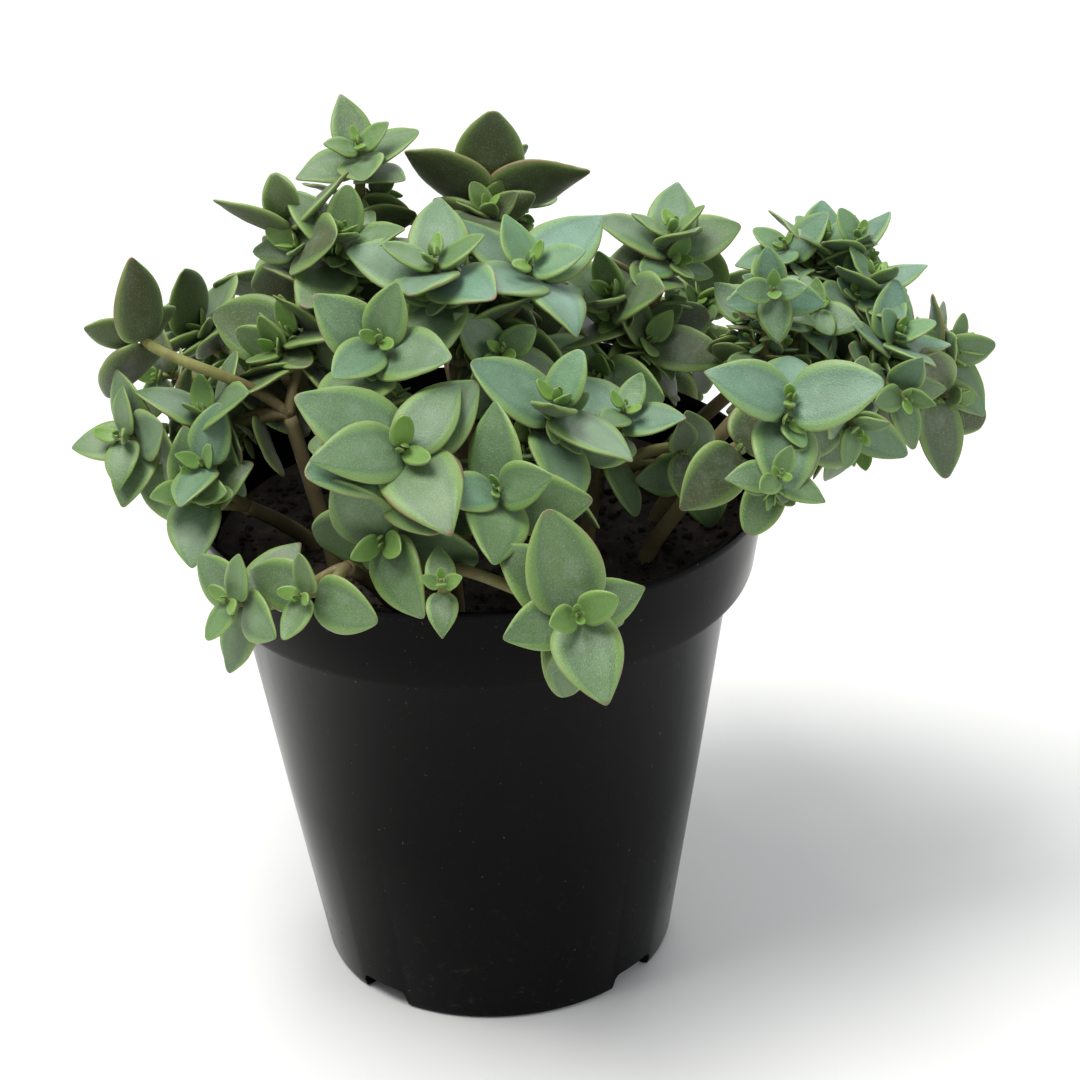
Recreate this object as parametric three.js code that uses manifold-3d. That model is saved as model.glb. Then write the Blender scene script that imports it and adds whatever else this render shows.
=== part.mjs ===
// A potted succulent: a small creeping crassula with fleshy opposite leaves, in a round nursery pot.
// Millimetres, +Z up. The origin is the centre of the pot's flat underside, and -Y is the front.
import * as THREE from "three";
import { mergeVertices } from "three/addons/utils/BufferGeometryUtils.js";
import Module from "manifold-3d";

// The clearance between one piece and the next.
const GAP = 0.3;
const WELD = 0.002; // corners of a finished piece that are closer than this are one corner
const FINE_WELD = 1e-4; // the same, for a shape that is still to be cut

// Pot.
const POT_HEIGHT = 82;
const RIM_RADIUS = 45; // outside of the lip
const BAND_RADIUS = 42.5; // outside of the rim band at its lower edge
const BAND_HEIGHT = 14.5;
const NECK_RADIUS = 39; // outside of the wall just under the band
const FOOT_RADIUS = 28.5;
const FOOT_CHAMFER = 1;
const WALL = 1.2;
const FLOOR = 1.5;
const POT_SIDES = 28;
const DRAIN_COUNT = 4;
const DRAIN_WIDTH = 7;
const DRAIN_HEIGHT = 2.6;
const DRAIN_REACH = 5; // how far each slot runs in under the floor
const DRAIN_TURN = -41; // compass angle of the first slot

// Soil.
const SOIL_BELOW_RIM = 9;
const SOIL_CROWN = 1.5; // how much higher the soil is in the middle
const SOIL_GAP = 0.4; // level clearance from the soil to the sloping wall

// Stems.
const TRUNK_RADIUS = 1.5;
const SHOOT_RADIUS = 1.1;
const STEM_SIDES = 5;
const TRUNK_STEPS = 3;
const SHOOT_STEPS = 4;
const ROOT_DEPTH = 9; // how far a stem goes down into the soil
const TRUNK_BOW = 1; // how far a stem stands above the straight line, halfway to its knee
const FORK_REACH = 0.18; // share of a shoot's length that still runs on from the stem
const TIP_REACH = 0.4; // share of a shoot's length that already points as its tip does

// Leaves, as shares of the leaf's own length unless they say otherwise.
const LEAF_WIDTH = 0.74;
const LEAF_THICKNESS = 0.13;
const LEAF_FOLD = 0.2; // how far the margins stand above the midrib, as a share of the half width
const INTERNODE = 0.46; // along the stem from one older pair to the next
const FIRST_INTERNODE = 0.4; // of an internode, from a tip's foot to the first older pair
const LEAF_CURL = 22; // degrees that a blade turns from its base to its tip
const CURL_START = 0.3; // share of the blade at which it has its stated angle
const POINT_GROW = 3; // how far a leaf's point moves out for each mm that its faces do
const SMALL_PAIR = 0.6; // pairs below this share of the leaf length are plain and straight

// Half width and thickness along the blade: share of the length, share of the half width, share of the
// thickness. The blade is broadest near its base and ends in a point.
const BLADE = [
  [0, 0.16, 0.6],
  [0.3, 1, 1],
  [0.68, 0.72, 0.75],
];
const SMALL_BLADE = [
  [0, 0.2, 0.6],
  [0.4, 1, 1],
];

// Pairs at a shoot's tip, from the youngest out: share of the leaf length, angle from the stem in degrees,
// and the distance along the stem from the pair outside it in mm. The youngest pair is still a closed bud.
const TIP_PAIRS = [
  { size: 0.24, open: 0, step: 0.8 },
  { size: 0.58, open: 62, step: 1.2 },
  { size: 0.95, open: 77, step: 1.8 },
  { size: 1, open: 86, step: 1.2 },
];
const OLD_PAIR_OPEN = 95;
const LOWEST_PAIR = 0.12; // share of a shoot's stem, from its fork, that stays bare
const LEAF_START = 0.5; // from the middle of the stem to where a leaf begins inside it
const HUB_SIDES = 4; // the stub of a leafy tip is square, with a face to each leaf
const BUD_TIP = 0.5; // half the corner-to-corner width at the bud's end
const HUB_LENGTH = 1.1; // stem stub between a tip's foot and its oldest pair

// Every stem, with the shoots that it forks into. Across and back are shares of the rim's radius, from the
// pot's axis towards +X and +Y, and rise is mm above the rim. face is the way a leafy tip looks, and lead is
// the way that the first leaf of its oldest pair points. leaf is that pair's length in mm, pairs counts the
// pairs in the tip, and below counts the older pairs on the stem under it.
const STEMS = [
  {
    name: "front", root: [-0.2, -0.42], knee: [-0.2, -0.6, 9],
    shoots: [
      { name: "front", tip: [-0.22, -0.8, 22], face: [0, -4, 3], lead: [-8, -3, -5],
        leaf: 19, pairs: 4, below: 1 },
      { name: "centre_left", tip: [-0.29, -0.49, 33], face: [1, -4, 8], lead: [8, -3, -3],
        leaf: 13, pairs: 3, below: 2 },
      { name: "front_under", tip: [-0.3, -0.86, 9], face: [-1, -8, 3], lead: [2, -4, -6],
        leaf: 14, pairs: 2, below: 1 },
    ],
  },
  {
    name: "front_middle", root: [0.1, -0.45], knee: [0.1, -0.6, 7],
    shoots: [
      { name: "front_middle", tip: [0.07, -0.84, 16], face: [0, -4, 3], lead: [-1, -4, -9],
        leaf: 16, pairs: 3, below: 1 },
      { name: "centre", tip: [0.27, -0.56, 24], face: [1, -3, 8], lead: [-8, 3, 1],
        leaf: 15, pairs: 3, below: 2 },
    ],
  },
  {
    name: "rim_front", root: [-0.08, -0.68], knee: [-0.08, -0.9, 5],
    shoots: [
      { name: "rim_front", tip: [0.31, -1.2, 4], face: [1, -8, 4], lead: [-9, -1, -2],
        leaf: 13, pairs: 4, below: 1 },
      { name: "rim_bud", tip: [-0.11, -1.11, 8], face: [0, -3, 4], lead: [0, -4, -9],
        leaf: 7, pairs: 3, below: 0 },
    ],
  },
  {
    name: "rim_left", root: [-0.3, -0.55], knee: [-0.42, -0.82, 4],
    shoots: [
      { name: "rim_left", tip: [-0.8, -0.89, 1], face: [-5, -5, 7], lead: [-4, 7, 2],
        leaf: 14, pairs: 4, below: 0 },
      { name: "rim_left_front", tip: [-0.56, -1, 4], face: [-6, -7, 3], lead: [9, -3, -2],
        leaf: 13, pairs: 3, below: 0 },
    ],
  },
  {
    name: "high_centre", root: [-0.05, -0.1], knee: [-0.06, -0.14, 22],
    shoots: [
      { name: "high_centre", tip: [-0.11, -0.18, 40], face: [-1, -2, 8], lead: [-9, -3, 0],
        leaf: 15, pairs: 4, below: 2 },
      { name: "top_centre", tip: [0.2, -0.09, 37], face: [0, -5, 8], lead: [8, -4, -6],
        leaf: 17, pairs: 4, below: 2 },
    ],
  },
  {
    name: "centre_right", root: [0.35, -0.25], knee: [0.4, -0.3, 6],
    shoots: [
      { name: "centre_right", tip: [0.49, -0.4, 19], face: [1, -5, 8], lead: [7, -3, -5],
        leaf: 11, pairs: 3, below: 2 },
      { name: "right_inner", tip: [0.75, -0.26, 6], face: [3, -7, 3], lead: [3, -4, -5],
        leaf: 11, pairs: 2, below: 1 },
    ],
  },
  {
    name: "right_front", root: [0.55, -0.3], knee: [0.8, -0.4, 10],
    shoots: [
      { name: "right_front", tip: [1.02, -0.58, 23], face: [0, -1, 1], lead: [-9, 1, 2],
        leaf: 16, pairs: 2, below: 1 },
      { name: "right_low", tip: [1.27, -0.31, 12], face: [3, -8, -2], lead: [5, 0, -4],
        leaf: 10, pairs: 3, below: 1 },
      { name: "right_front_low", tip: [0.97, -0.76, 15], face: [1, -8, 6], lead: [8, -2, -4],
        leaf: 8, pairs: 3, below: 1 },
    ],
  },
  {
    name: "left_far", root: [-0.5, -0.26], knee: [-0.62, -0.22, 16],
    shoots: [
      { name: "left_far", tip: [-1.13, -0.09, 28], face: [-9, -2, 1], lead: [0, 1, 9],
        leaf: 14, pairs: 3, below: 3 },
      { name: "left", tip: [-1.18, -0.28, 15], face: [-6, -7, 4], lead: [3, -2, -9],
        leaf: 14, pairs: 4, below: 2 },
      { name: "high_left", tip: [-0.42, 0.04, 41], face: [1, -2, 9], lead: [8, -4, 0],
        leaf: 12, pairs: 3, below: 2 },
    ],
  },
  {
    name: "left_low", root: [-0.58, -0.1], knee: [-0.78, -0.3, 3],
    shoots: [
      { name: "left_low", tip: [-0.94, -0.46, 10], face: [-1, -5, 6], lead: [1, -4, -9],
        leaf: 11, pairs: 3, below: 1 },
      { name: "left_purple", tip: [-1.08, 0.06, 18], face: [-5, -3, 1], lead: [0, 1, 9],
        leaf: 9, pairs: 2, below: 1 },
    ],
  },
  {
    name: "right", root: [0.6, 0], knee: [0.94, -0.06, 13],
    shoots: [
      { name: "right", tip: [1, -0.18, 33], face: [0, -3, 2], lead: [9, 0, 0],
        leaf: 7.5, pairs: 4, below: 3 },
      { name: "right_far", tip: [1.44, 0, 22], face: [4, -4, 8], lead: [9, 1, 1],
        leaf: 10.5, pairs: 4, below: 3 },
      { name: "right_hanging", tip: [1.44, -0.2, 15], face: [3, -9, 0], lead: [0, -1, -9],
        leaf: 9, pairs: 3, below: 2 },
    ],
  },
  {
    name: "right_back", root: [0.55, 0.3], knee: [1.02, 0.3, 12],
    shoots: [
      { name: "right_crown", tip: [1.22, 0.4, 31], face: [1, -1, 9], lead: [8, -3, 0],
        leaf: 11, pairs: 4, below: 4 },
      { name: "right_shoulder", tip: [1.38, 0.2, 28], face: [3, -2, 9], lead: [4, -6, 0],
        leaf: 10, pairs: 4, below: 3 },
      { name: "right_tail", tip: [1.65, 0.22, 14], face: [8, -4, 3], lead: [5, -2, -7],
        leaf: 13, pairs: 3, below: 2 },
    ],
  },
  {
    name: "top_left", root: [-0.3, 0.3], knee: [-0.42, 0.34, 26],
    shoots: [
      { name: "top_left", tip: [-0.38, 0.53, 47], face: [0, -5, 8], lead: [-9, -2, -3],
        leaf: 10.5, pairs: 4, below: 3 },
      { name: "top_left_side", tip: [-0.62, 0.13, 43], face: [-1, 4, 9], lead: [-9, -1, -2],
        leaf: 13, pairs: 3, below: 2 },
    ],
  },
  {
    name: "top_back", root: [0.1, 0.4], knee: [0.08, 0.46, 14],
    shoots: [
      { name: "top_back", tip: [0.06, 0.5, 41], face: [0, 8, 5], lead: [-9, 1, 1],
        leaf: 16, pairs: 4, below: 2 },
      { name: "back_centre", tip: [0.14, 1, 20], face: [1, 5, 7], lead: [9, 1, 1],
        leaf: 14, pairs: 4, below: 2 },
    ],
  },
  {
    name: "top_right", root: [0.4, 0.2], knee: [0.54, 0.24, 16],
    shoots: [
      { name: "top_right", tip: [0.69, 0.31, 35], face: [1, -2, 8], lead: [-9, -2, 1],
        leaf: 14, pairs: 4, below: 3 },
    ],
  },
  {
    name: "left_inner", root: [-0.42, 0.08], knee: [-0.58, 0.04, 14],
    shoots: [
      { name: "left_inner", tip: [-0.62, -0.04, 26], face: [-2, -3, 8], lead: [7, -5, 0],
        leaf: 15, pairs: 2, below: 2 },
      { name: "left_back", tip: [-1.04, 0.5, 20], face: [-6, 3, 6], lead: [0, 5, 5],
        leaf: 14, pairs: 4, below: 2 },
    ],
  },
  {
    name: "back_left", root: [-0.4, 0.5], knee: [-0.56, 0.7, 8],
    shoots: [
      { name: "back_left", tip: [-0.66, 0.86, 21], face: [-2, 5, 7], lead: [8, 4, 1],
        leaf: 14, pairs: 4, below: 2 },
      { name: "back_left_low", tip: [-0.96, 1, 4], face: [-6, 7, 4], lead: [0, -4, 9],
        leaf: 15, pairs: 4, below: 1 },
    ],
  },
  {
    name: "back_middle", root: [-0.05, 0.65], knee: [-0.12, 0.86, 6],
    shoots: [
      { name: "back_middle", tip: [-0.3, 1.2, 4], face: [-2, 8, 4], lead: [-9, -2, 2],
        leaf: 15, pairs: 4, below: 1 },
      { name: "back_low", tip: [0.24, 1.24, 0], face: [1, 8, 3], lead: [3, 3, -9],
        leaf: 13, pairs: 4, below: 1 },
    ],
  },
  {
    name: "back_right", root: [0.45, 0.55], knee: [0.66, 0.74, 7],
    shoots: [
      { name: "back_right", tip: [0.86, 0.8, 17], face: [4, 5, 7], lead: [7, -5, 1],
        leaf: 14, pairs: 4, below: 2 },
      { name: "back_right_low", tip: [0.8, 1.12, 1], face: [5, 8, 4], lead: [-6, 4, 1],
        leaf: 14, pairs: 4, below: 1 },
    ],
  },
];

const PURPLE_SHOOTS = ["left_far", "left_purple"];

const FINISHES = {
  pot: { color: 0x161413, roughness: 0.35 },
  soil: { color: 0x1d1713, roughness: 0.95 },
  stem: { color: 0x9a8156, roughness: 0.6 },
  leaf: { color: 0x6f9462, roughness: 0.5 },
  purple: { color: 0x5f4d45, roughness: 0.5 },
};

const wasm = await Module();
wasm.setup();

const rad = THREE.MathUtils.degToRad;
const vector = (values) => new THREE.Vector3(...values);
const unit = (values) => vector(values).normalize();

// A solid of flat triangles, from points and the triples that join them.
function solidFromFaces(points, faces) {
  const vertProperties = new Float32Array(points.flatMap((p) => [p.x, p.y, p.z]));
  const triVerts = new Uint32Array(faces.flat());
  return new wasm.Manifold(new wasm.Mesh({ numProp: 3, vertProperties, triVerts }));
}

// A solid from a closed geometry.
function solidFromGeometry(geometry, weld = FINE_WELD) {
  const bare = geometry.clone();
  bare.deleteAttribute("normal");
  bare.deleteAttribute("uv");
  const merged = mergeVertices(bare, weld);
  return new wasm.Manifold(
    new wasm.Mesh({
      numProp: 3,
      vertProperties: merged.attributes.position.array,
      triVerts: new Uint32Array(merged.index.array),
    }),
  );
}

function geometryFromSolid(solid) {
  const { vertProperties, triVerts } = solid.getMesh();
  const geometry = new THREE.BufferGeometry();
  geometry.setAttribute("position", new THREE.BufferAttribute(vertProperties, 3));
  geometry.setIndex(new THREE.BufferAttribute(triVerts, 1));
  return geometry;
}

// The named mesh of a solid. Corners closer than WELD become one, and a hollow that this closes is filled.
function meshFromSolid(name, solid, finish) {
  const welded = solidFromGeometry(geometryFromSolid(solid), WELD);
  const geometry = geometryFromSolid(mainBody(welded));
  geometry.computeVertexNormals();
  const mesh = new THREE.Mesh(geometry, new THREE.MeshStandardMaterial({ ...finish, metalness: 0 }));
  mesh.name = name;
  return mesh;
}

const join = (solids) => solids.reduce((whole, next) => whole.add(next));

// The largest body of a solid, without the slivers that a cut has set free.
function mainBody(solid) {
  const bodies = solid.decompose();
  return bodies.reduce((best, body) => (body.volume() > best.volume() ? body : best));
}

function boxesTouch(a, b) {
  const p = a.boundingBox();
  const q = b.boundingBox();
  return [0, 1, 2].every((i) => p.min[i] <= q.max[i] && q.min[i] <= p.max[i]);
}

// A solid cut back by each of the cutters that comes near it.
function cutBack(solid, cutters) {
  return cutters.filter((c) => boxesTouch(solid, c)).reduce((rest, c) => rest.subtract(c), solid);
}

// ---- Pot ----

const NECK = POT_HEIGHT - BAND_HEIGHT; // height of the ledge under the band

// Outside radius of the plain wall at a height under the band.
function wallRadius(z) {
  return FOOT_RADIUS + ((NECK_RADIUS - FOOT_RADIUS) * z) / NECK;
}

// The pot's turned shape, with every face moved out by grow.
function potShell(grow) {
  const g = grow;
  const inner = WALL + g;
  const profile = [
    [0, -g],
    [FOOT_RADIUS - FOOT_CHAMFER, -g],
    [FOOT_RADIUS + g, FOOT_CHAMFER],
    [NECK_RADIUS + g, NECK - g],
    [BAND_RADIUS + g, NECK - g],
    [RIM_RADIUS + g, POT_HEIGHT - WALL],
    [RIM_RADIUS - WALL / 2, POT_HEIGHT + g],
    [RIM_RADIUS - inner, POT_HEIGHT - WALL / 2],
    [BAND_RADIUS - inner, NECK + WALL],
    [NECK_RADIUS - inner, NECK],
    [FOOT_RADIUS - inner, FLOOR + g],
    [0, FLOOR + g],
  ];
  const points = profile.map(([r, z]) => new THREE.Vector2(r, z));
  const geometry = new THREE.LatheGeometry(points, POT_SIDES);
  return solidFromGeometry(geometry.rotateX(Math.PI / 2));
}

// One drain slot: a low opening through the foot of the wall and the edge of the floor.
function drainSlot(turn) {
  const outside = 2;
  const slot = new THREE.BoxGeometry(DRAIN_REACH + outside, DRAIN_WIDTH, 2 * DRAIN_HEIGHT);
  slot.translate(FOOT_RADIUS + (outside - DRAIN_REACH) / 2, 0, 0);
  return solidFromGeometry(slot.rotateZ(rad(turn)));
}

function makePot() {
  let pot = potShell(0);
  for (let i = 0; i < DRAIN_COUNT; i++) pot = pot.subtract(drainSlot(DRAIN_TURN + (360 * i) / DRAIN_COUNT));
  return pot;
}

// ---- Soil ----

const SOIL_TOP = POT_HEIGHT - SOIL_BELOW_RIM;

// Inside radius of the pot at a height.
function boreRadius(z) {
  if (z <= NECK) return wallRadius(z) - WALL;
  const low = NECK + WALL;
  const high = POT_HEIGHT - WALL / 2;
  const share = (z - low) / (high - low);
  return BAND_RADIUS - WALL + (RIM_RADIUS - BAND_RADIUS) * Math.max(0, share);
}

function soilPlug() {
  const bottom = FLOOR + GAP;
  const ledge = NECK + WALL;
  const profile = [
    [0, bottom],
    [boreRadius(bottom) - SOIL_GAP, bottom],
    [boreRadius(NECK) - SOIL_GAP, NECK],
    [boreRadius(ledge) - SOIL_GAP, ledge + GAP],
    [boreRadius(SOIL_TOP) - SOIL_GAP, SOIL_TOP],
    [boreRadius(SOIL_TOP) / 2, SOIL_TOP + SOIL_CROWN],
    [0, SOIL_TOP + SOIL_CROWN],
  ];
  const points = profile.map(([r, z]) => new THREE.Vector2(r, z));
  return solidFromGeometry(new THREE.LatheGeometry(points, POT_SIDES).rotateX(Math.PI / 2));
}

// ---- Plant ----

// One leaf. It leaves base at an angle from axis towards out, and its blade turns by curl along its length.
function leafSolid({ base, axis, out, length, open, curl, stations, grow }) {
  const side = axis.clone().cross(out);
  const mix = (a, b) => axis.clone().multiplyScalar(a).addScaledVector(out, b);
  const along = (angle) => mix(Math.cos(angle), Math.sin(angle));
  const above = (angle) => mix(Math.sin(angle), -Math.cos(angle));
  const angleAt = (t) => rad(open + curl * (t - CURL_START));
  const points = [];
  const place = base.clone().addScaledVector(out, LEAF_START);
  let before = 0;
  for (const [t, broad, thick] of stations) {
    place.addScaledVector(along(angleAt((t + before) / 2)), (t - before) * length);
    before = t;
    const up = above(angleAt(t));
    const half = (broad * LEAF_WIDTH * length) / 2;
    const keel = thick * LEAF_THICKNESS * length;
    const depth = keel + LEAF_FOLD * half;
    // How far the keel goes down as both lower faces move out.
    const drop = (grow * Math.hypot(half, depth)) / half;
    const spread = half * (1 + (grow + drop) / depth);
    const margin = place.clone().addScaledVector(up, LEAF_FOLD * half + grow);
    points.push(margin.clone().addScaledVector(side, spread));
    points.push(margin.addScaledVector(side, -spread));
    points.push(place.clone().addScaledVector(up, -keel - drop));
  }
  const reach = (1 - before) * length + POINT_GROW * grow;
  points.push(place.clone().addScaledVector(along(angleAt((1 + before) / 2)), reach));
  const faces = [[0, 1, 2]];
  for (let ring = 0; ring < 3 * (stations.length - 1); ring += 3) {
    for (let i = 0; i < 3; i++) {
      const a = ring + i;
      const b = ring + ((i + 1) % 3);
      faces.push([a, a + 3, b], [b, a + 3, b + 3]);
    }
  }
  const last = 3 * (stations.length - 1);
  for (let i = 0; i < 3; i++) faces.push([last + i, last + 3, last + ((i + 1) % 3)]);
  const solid = solidFromFaces(points, faces);
  if (solid.volume() > 0) return solid;
  const turnedOver = faces.map(([a, b, c]) => [a, c, b]);
  return solidFromFaces(points, turnedOver);
}

// Two opposite leaves. lead is the way the first one points.
function leafPair({ base, axis, lead, length, open, curl, stations, grow }) {
  return [1, -1].map((way) => {
    const out = lead.clone().multiplyScalar(way);
    return leafSolid({ base, axis, out, length, open, curl, stations, grow });
  });
}

// The part of a direction that is square to an axis.
function squareTo(direction, axis) {
  return direction.clone().addScaledVector(axis, -direction.dot(axis)).normalize();
}

// A place given from the rim, in mm.
function fromRim([across, back, rise]) {
  return new THREE.Vector3(across * RIM_RADIUS, back * RIM_RADIUS, POT_HEIGHT + rise);
}

// A round stem along a curve.
function stemTube(curve, radius, steps, grow) {
  const section = new THREE.Shape();
  const r = radius + grow;
  for (let i = 0; i < STEM_SIDES; i++) {
    const angle = (2 * Math.PI * i) / STEM_SIDES;
    const [x, y] = [r * Math.cos(angle), r * Math.sin(angle)];
    if (i === 0) section.moveTo(x, y);
    else section.lineTo(x, y);
  }
  const settings = { steps, extrudePath: curve, bevelEnabled: false };
  return solidFromGeometry(new THREE.ExtrudeGeometry(section, settings));
}

// The foot of a leafy tip, under the heart where its youngest leaves meet.
function tipFoot(shoot) {
  const steps = TIP_PAIRS.slice(1, shoot.pairs).map((pair) => pair.step);
  const height = steps.reduce((sum, step) => sum + step, HUB_LENGTH);
  return fromRim(shoot.tip).addScaledVector(unit(shoot.face), -height);
}

// The curve of a stem from its foot in the soil to its knee, where it forks.
function trunkCurve(stem) {
  const knee = fromRim(stem.knee);
  const [x, y] = [stem.root[0] * RIM_RADIUS, stem.root[1] * RIM_RADIUS];
  const foot = new THREE.Vector3(x, y, SOIL_TOP - ROOT_DEPTH);
  const surface = new THREE.Vector3(x, y, SOIL_TOP);
  const middle = surface.clone().lerp(knee, 0.5);
  middle.z += TRUNK_BOW;
  return new THREE.CatmullRomCurve3([foot, surface, middle, knee]);
}

// The curve of a shoot from the knee to the foot of its leafy tip.
function shootCurve(stem, shoot) {
  const knee = fromRim(stem.knee);
  const tip = tipFoot(shoot);
  const axis = unit(shoot.face);
  const reach = knee.distanceTo(tip);
  const upward = trunkCurve(stem).getTangent(1);
  const across = tip.clone().sub(knee).normalize();
  const leave = knee.clone().addScaledVector(upward.add(across), reach * FORK_REACH);
  const arrive = tip.clone().addScaledVector(axis, -reach * TIP_REACH);
  return new THREE.CubicBezierCurve3(knee, leave, arrive, tip);
}

// The tubes of a stem and its shoots.
function stemTubes(stem, grow) {
  const tubes = [stemTube(trunkCurve(stem), TRUNK_RADIUS, TRUNK_STEPS, grow)];
  for (const shoot of stem.shoots) {
    tubes.push(stemTube(shootCurve(stem, shoot), SHOOT_RADIUS, SHOOT_STEPS, grow));
  }
  return join(tubes);
}

// The older leaf pairs of one shoot, each a quarter turn from the next.
function olderLeaves(stem, shoot, grow) {
  const curve = shootCurve(stem, shoot);
  const total = curve.getLength();
  const tipAxis = unit(shoot.face);
  const first = squareTo(unit(shoot.lead), tipAxis);
  const second = first.clone().cross(tipAxis);
  const blade = { length: shoot.leaf, open: OLD_PAIR_OPEN, curl: LEAF_CURL, stations: SMALL_BLADE };
  const leaves = [];
  for (let i = 0; i < shoot.below; i++) {
    const share = 1 - ((i + FIRST_INTERNODE) * INTERNODE * shoot.leaf) / total;
    if (share < LOWEST_PAIR) break;
    const base = curve.getPointAt(share);
    const axis = curve.getTangentAt(share);
    const lead = squareTo(i % 2 ? first : second, axis);
    leaves.push(...leafPair({ ...blade, base, axis, lead, grow }));
  }
  return leaves;
}

// A leafy tip: crossed pairs on a square stub that ends in a bud. Its foot stands GAP clear of its stem.
function tipSolid(shoot, grow) {
  const axis = unit(shoot.face);
  const foot = tipFoot(shoot).addScaledVector(axis, GAP);
  const first = squareTo(unit(shoot.lead), axis);
  const second = first.clone().cross(axis);
  const outermost = TIP_PAIRS[shoot.pairs - 1].size;
  const parts = [];
  let height = HUB_LENGTH;
  for (let k = 0; k < shoot.pairs - 1; k++) {
    const pair = TIP_PAIRS[shoot.pairs - 1 - k];
    const length = (shoot.leaf * pair.size) / outermost;
    const base = foot.clone().addScaledVector(axis, height);
    const small = pair.size < SMALL_PAIR;
    const lead = k % 2 ? second : first;
    const stations = small ? SMALL_BLADE : BLADE;
    const curl = small ? 0 : LEAF_CURL;
    parts.push(...leafPair({ base, axis, lead, length, open: pair.open, curl, stations, grow }));
    height += pair.step;
  }
  const corner = SHOOT_RADIUS * Math.SQRT2;
  const bud = (shoot.leaf * TIP_PAIRS[0].size) / outermost;
  const length = height + bud + 2 * grow;
  const stub = new THREE.CylinderGeometry(BUD_TIP + grow, corner + grow, length, HUB_SIDES);
  stub.rotateY(Math.PI / HUB_SIDES).rotateX(Math.PI / 2).translate(0, 0, length / 2 - grow);
  const placed = new THREE.Matrix4().makeBasis(first, axis.clone().cross(first), axis).setPosition(foot);
  stub.applyMatrix4(placed);
  return join([solidFromGeometry(stub), ...parts]);
}

// ---- Assembly ----

const plant = new THREE.Group();
const potEnvelope = potShell(GAP);
const soilBody = soilPlug();
const tubes = STEMS.map((stem) => stemTubes(stem, 0));
const tubeEnvelopes = STEMS.map((stem) => stemTubes(stem, GAP));

plant.add(meshFromSolid("pot", makePot(), FINISHES.pot));
plant.add(meshFromSolid("soil", mainBody(cutBack(soilBody, tubeEnvelopes)), FINISHES.soil));

// Stems are cut back by the stems before them, and their leaves by the pot, the soil and every other stem.
const envelopes = [];
STEMS.forEach((stem, i) => {
  const others = tubeEnvelopes.filter((_, j) => j !== i);
  const leavesOf = (grow) => stem.shoots.flatMap((shoot) => olderLeaves(stem, shoot, grow));
  const ownTubes = cutBack(tubes[i], [...tubeEnvelopes.slice(0, i), potEnvelope]);
  const trimmed = leavesOf(0).map((leaf) => cutBack(leaf, [potEnvelope, soilBody, ...others]));
  const solid = cutBack(join([ownTubes, ...trimmed]), envelopes);
  envelopes.push(join([tubeEnvelopes[i], ...leavesOf(GAP)]));
  plant.add(meshFromSolid("stem_" + stem.name, mainBody(solid), FINISHES.stem));
});

// Each leafy tip is cut back by the pot, the soil, every stem and the tips before it.
for (const stem of STEMS) {
  for (const shoot of stem.shoots) {
    const solid = mainBody(cutBack(tipSolid(shoot, 0), [potEnvelope, soilBody, ...envelopes]));
    envelopes.push(tipSolid(shoot, GAP));
    const finish = PURPLE_SHOOTS.includes(shoot.name) ? FINISHES.purple : FINISHES.leaf;
    plant.add(meshFromSolid("rosette_" + shoot.name, solid, finish));
  }
}

export default plant;
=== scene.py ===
"""Models a small creeping succulent in a round black nursery pot, around its fixed frame.

Metres, +Z up. The origin is the centre of the pot's flat underside, and -Y is the front of the plant.
"""

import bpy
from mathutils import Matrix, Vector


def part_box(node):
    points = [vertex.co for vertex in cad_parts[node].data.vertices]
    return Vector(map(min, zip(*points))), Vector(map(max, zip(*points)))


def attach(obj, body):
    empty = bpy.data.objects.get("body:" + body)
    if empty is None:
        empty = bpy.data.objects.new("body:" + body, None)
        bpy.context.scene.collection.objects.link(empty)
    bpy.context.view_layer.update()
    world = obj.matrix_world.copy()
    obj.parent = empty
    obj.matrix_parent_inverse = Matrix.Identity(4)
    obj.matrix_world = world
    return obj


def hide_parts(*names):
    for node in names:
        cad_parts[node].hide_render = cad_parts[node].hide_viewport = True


bl_info = {
    "name": "Potted Succulent",
    "version": (1, 0, 0),
    "blender": (4, 5, 0),
    "location": "View3D > Sidebar > Succulent",
    "description": "Models a small creeping succulent in a round nursery pot",
    "category": "Add Mesh",
}

import math
import random
from collections import namedtuple

import bpy
import numpy as np
from bpy.props import FloatProperty, FloatVectorProperty, IntProperty, PointerProperty
from mathutils import Matrix, Vector
from mathutils.bvhtree import BVHTree

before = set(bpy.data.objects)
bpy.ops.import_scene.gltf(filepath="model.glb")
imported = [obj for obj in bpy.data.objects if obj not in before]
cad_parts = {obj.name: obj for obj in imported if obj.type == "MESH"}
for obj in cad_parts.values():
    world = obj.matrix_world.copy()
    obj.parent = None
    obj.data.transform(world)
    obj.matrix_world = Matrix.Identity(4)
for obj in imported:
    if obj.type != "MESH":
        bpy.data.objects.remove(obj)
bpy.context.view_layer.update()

MM = 0.001
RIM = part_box("pot")[1].x  # outside radius of the lip
POT_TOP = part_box("pot")[1].z
SOIL_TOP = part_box("soil")[1].z - 1.5 * MM  # the soil at the wall; it is crowned in the middle

# Where the plant's pieces stand. A place is across, back and rise: across and back are shares of the rim's
# radius from the pot's axis, and rise is mm above the rim. A stem starts at its root and forks at its knee.
# face is the way a leafy tip looks, and lead is the way the first leaf of its oldest pair points. leaf is
# that pair's length in mm, pairs counts the pairs in the tip, below counts the older pairs on the stem under
# it, and tone runs from -1, olive brown, through 0, green, to 1, blue green.
Stem = namedtuple("Stem", "name root knee shoots")
Shoot = namedtuple("Shoot", "name tip face lead leaf pairs below tone")

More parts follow.
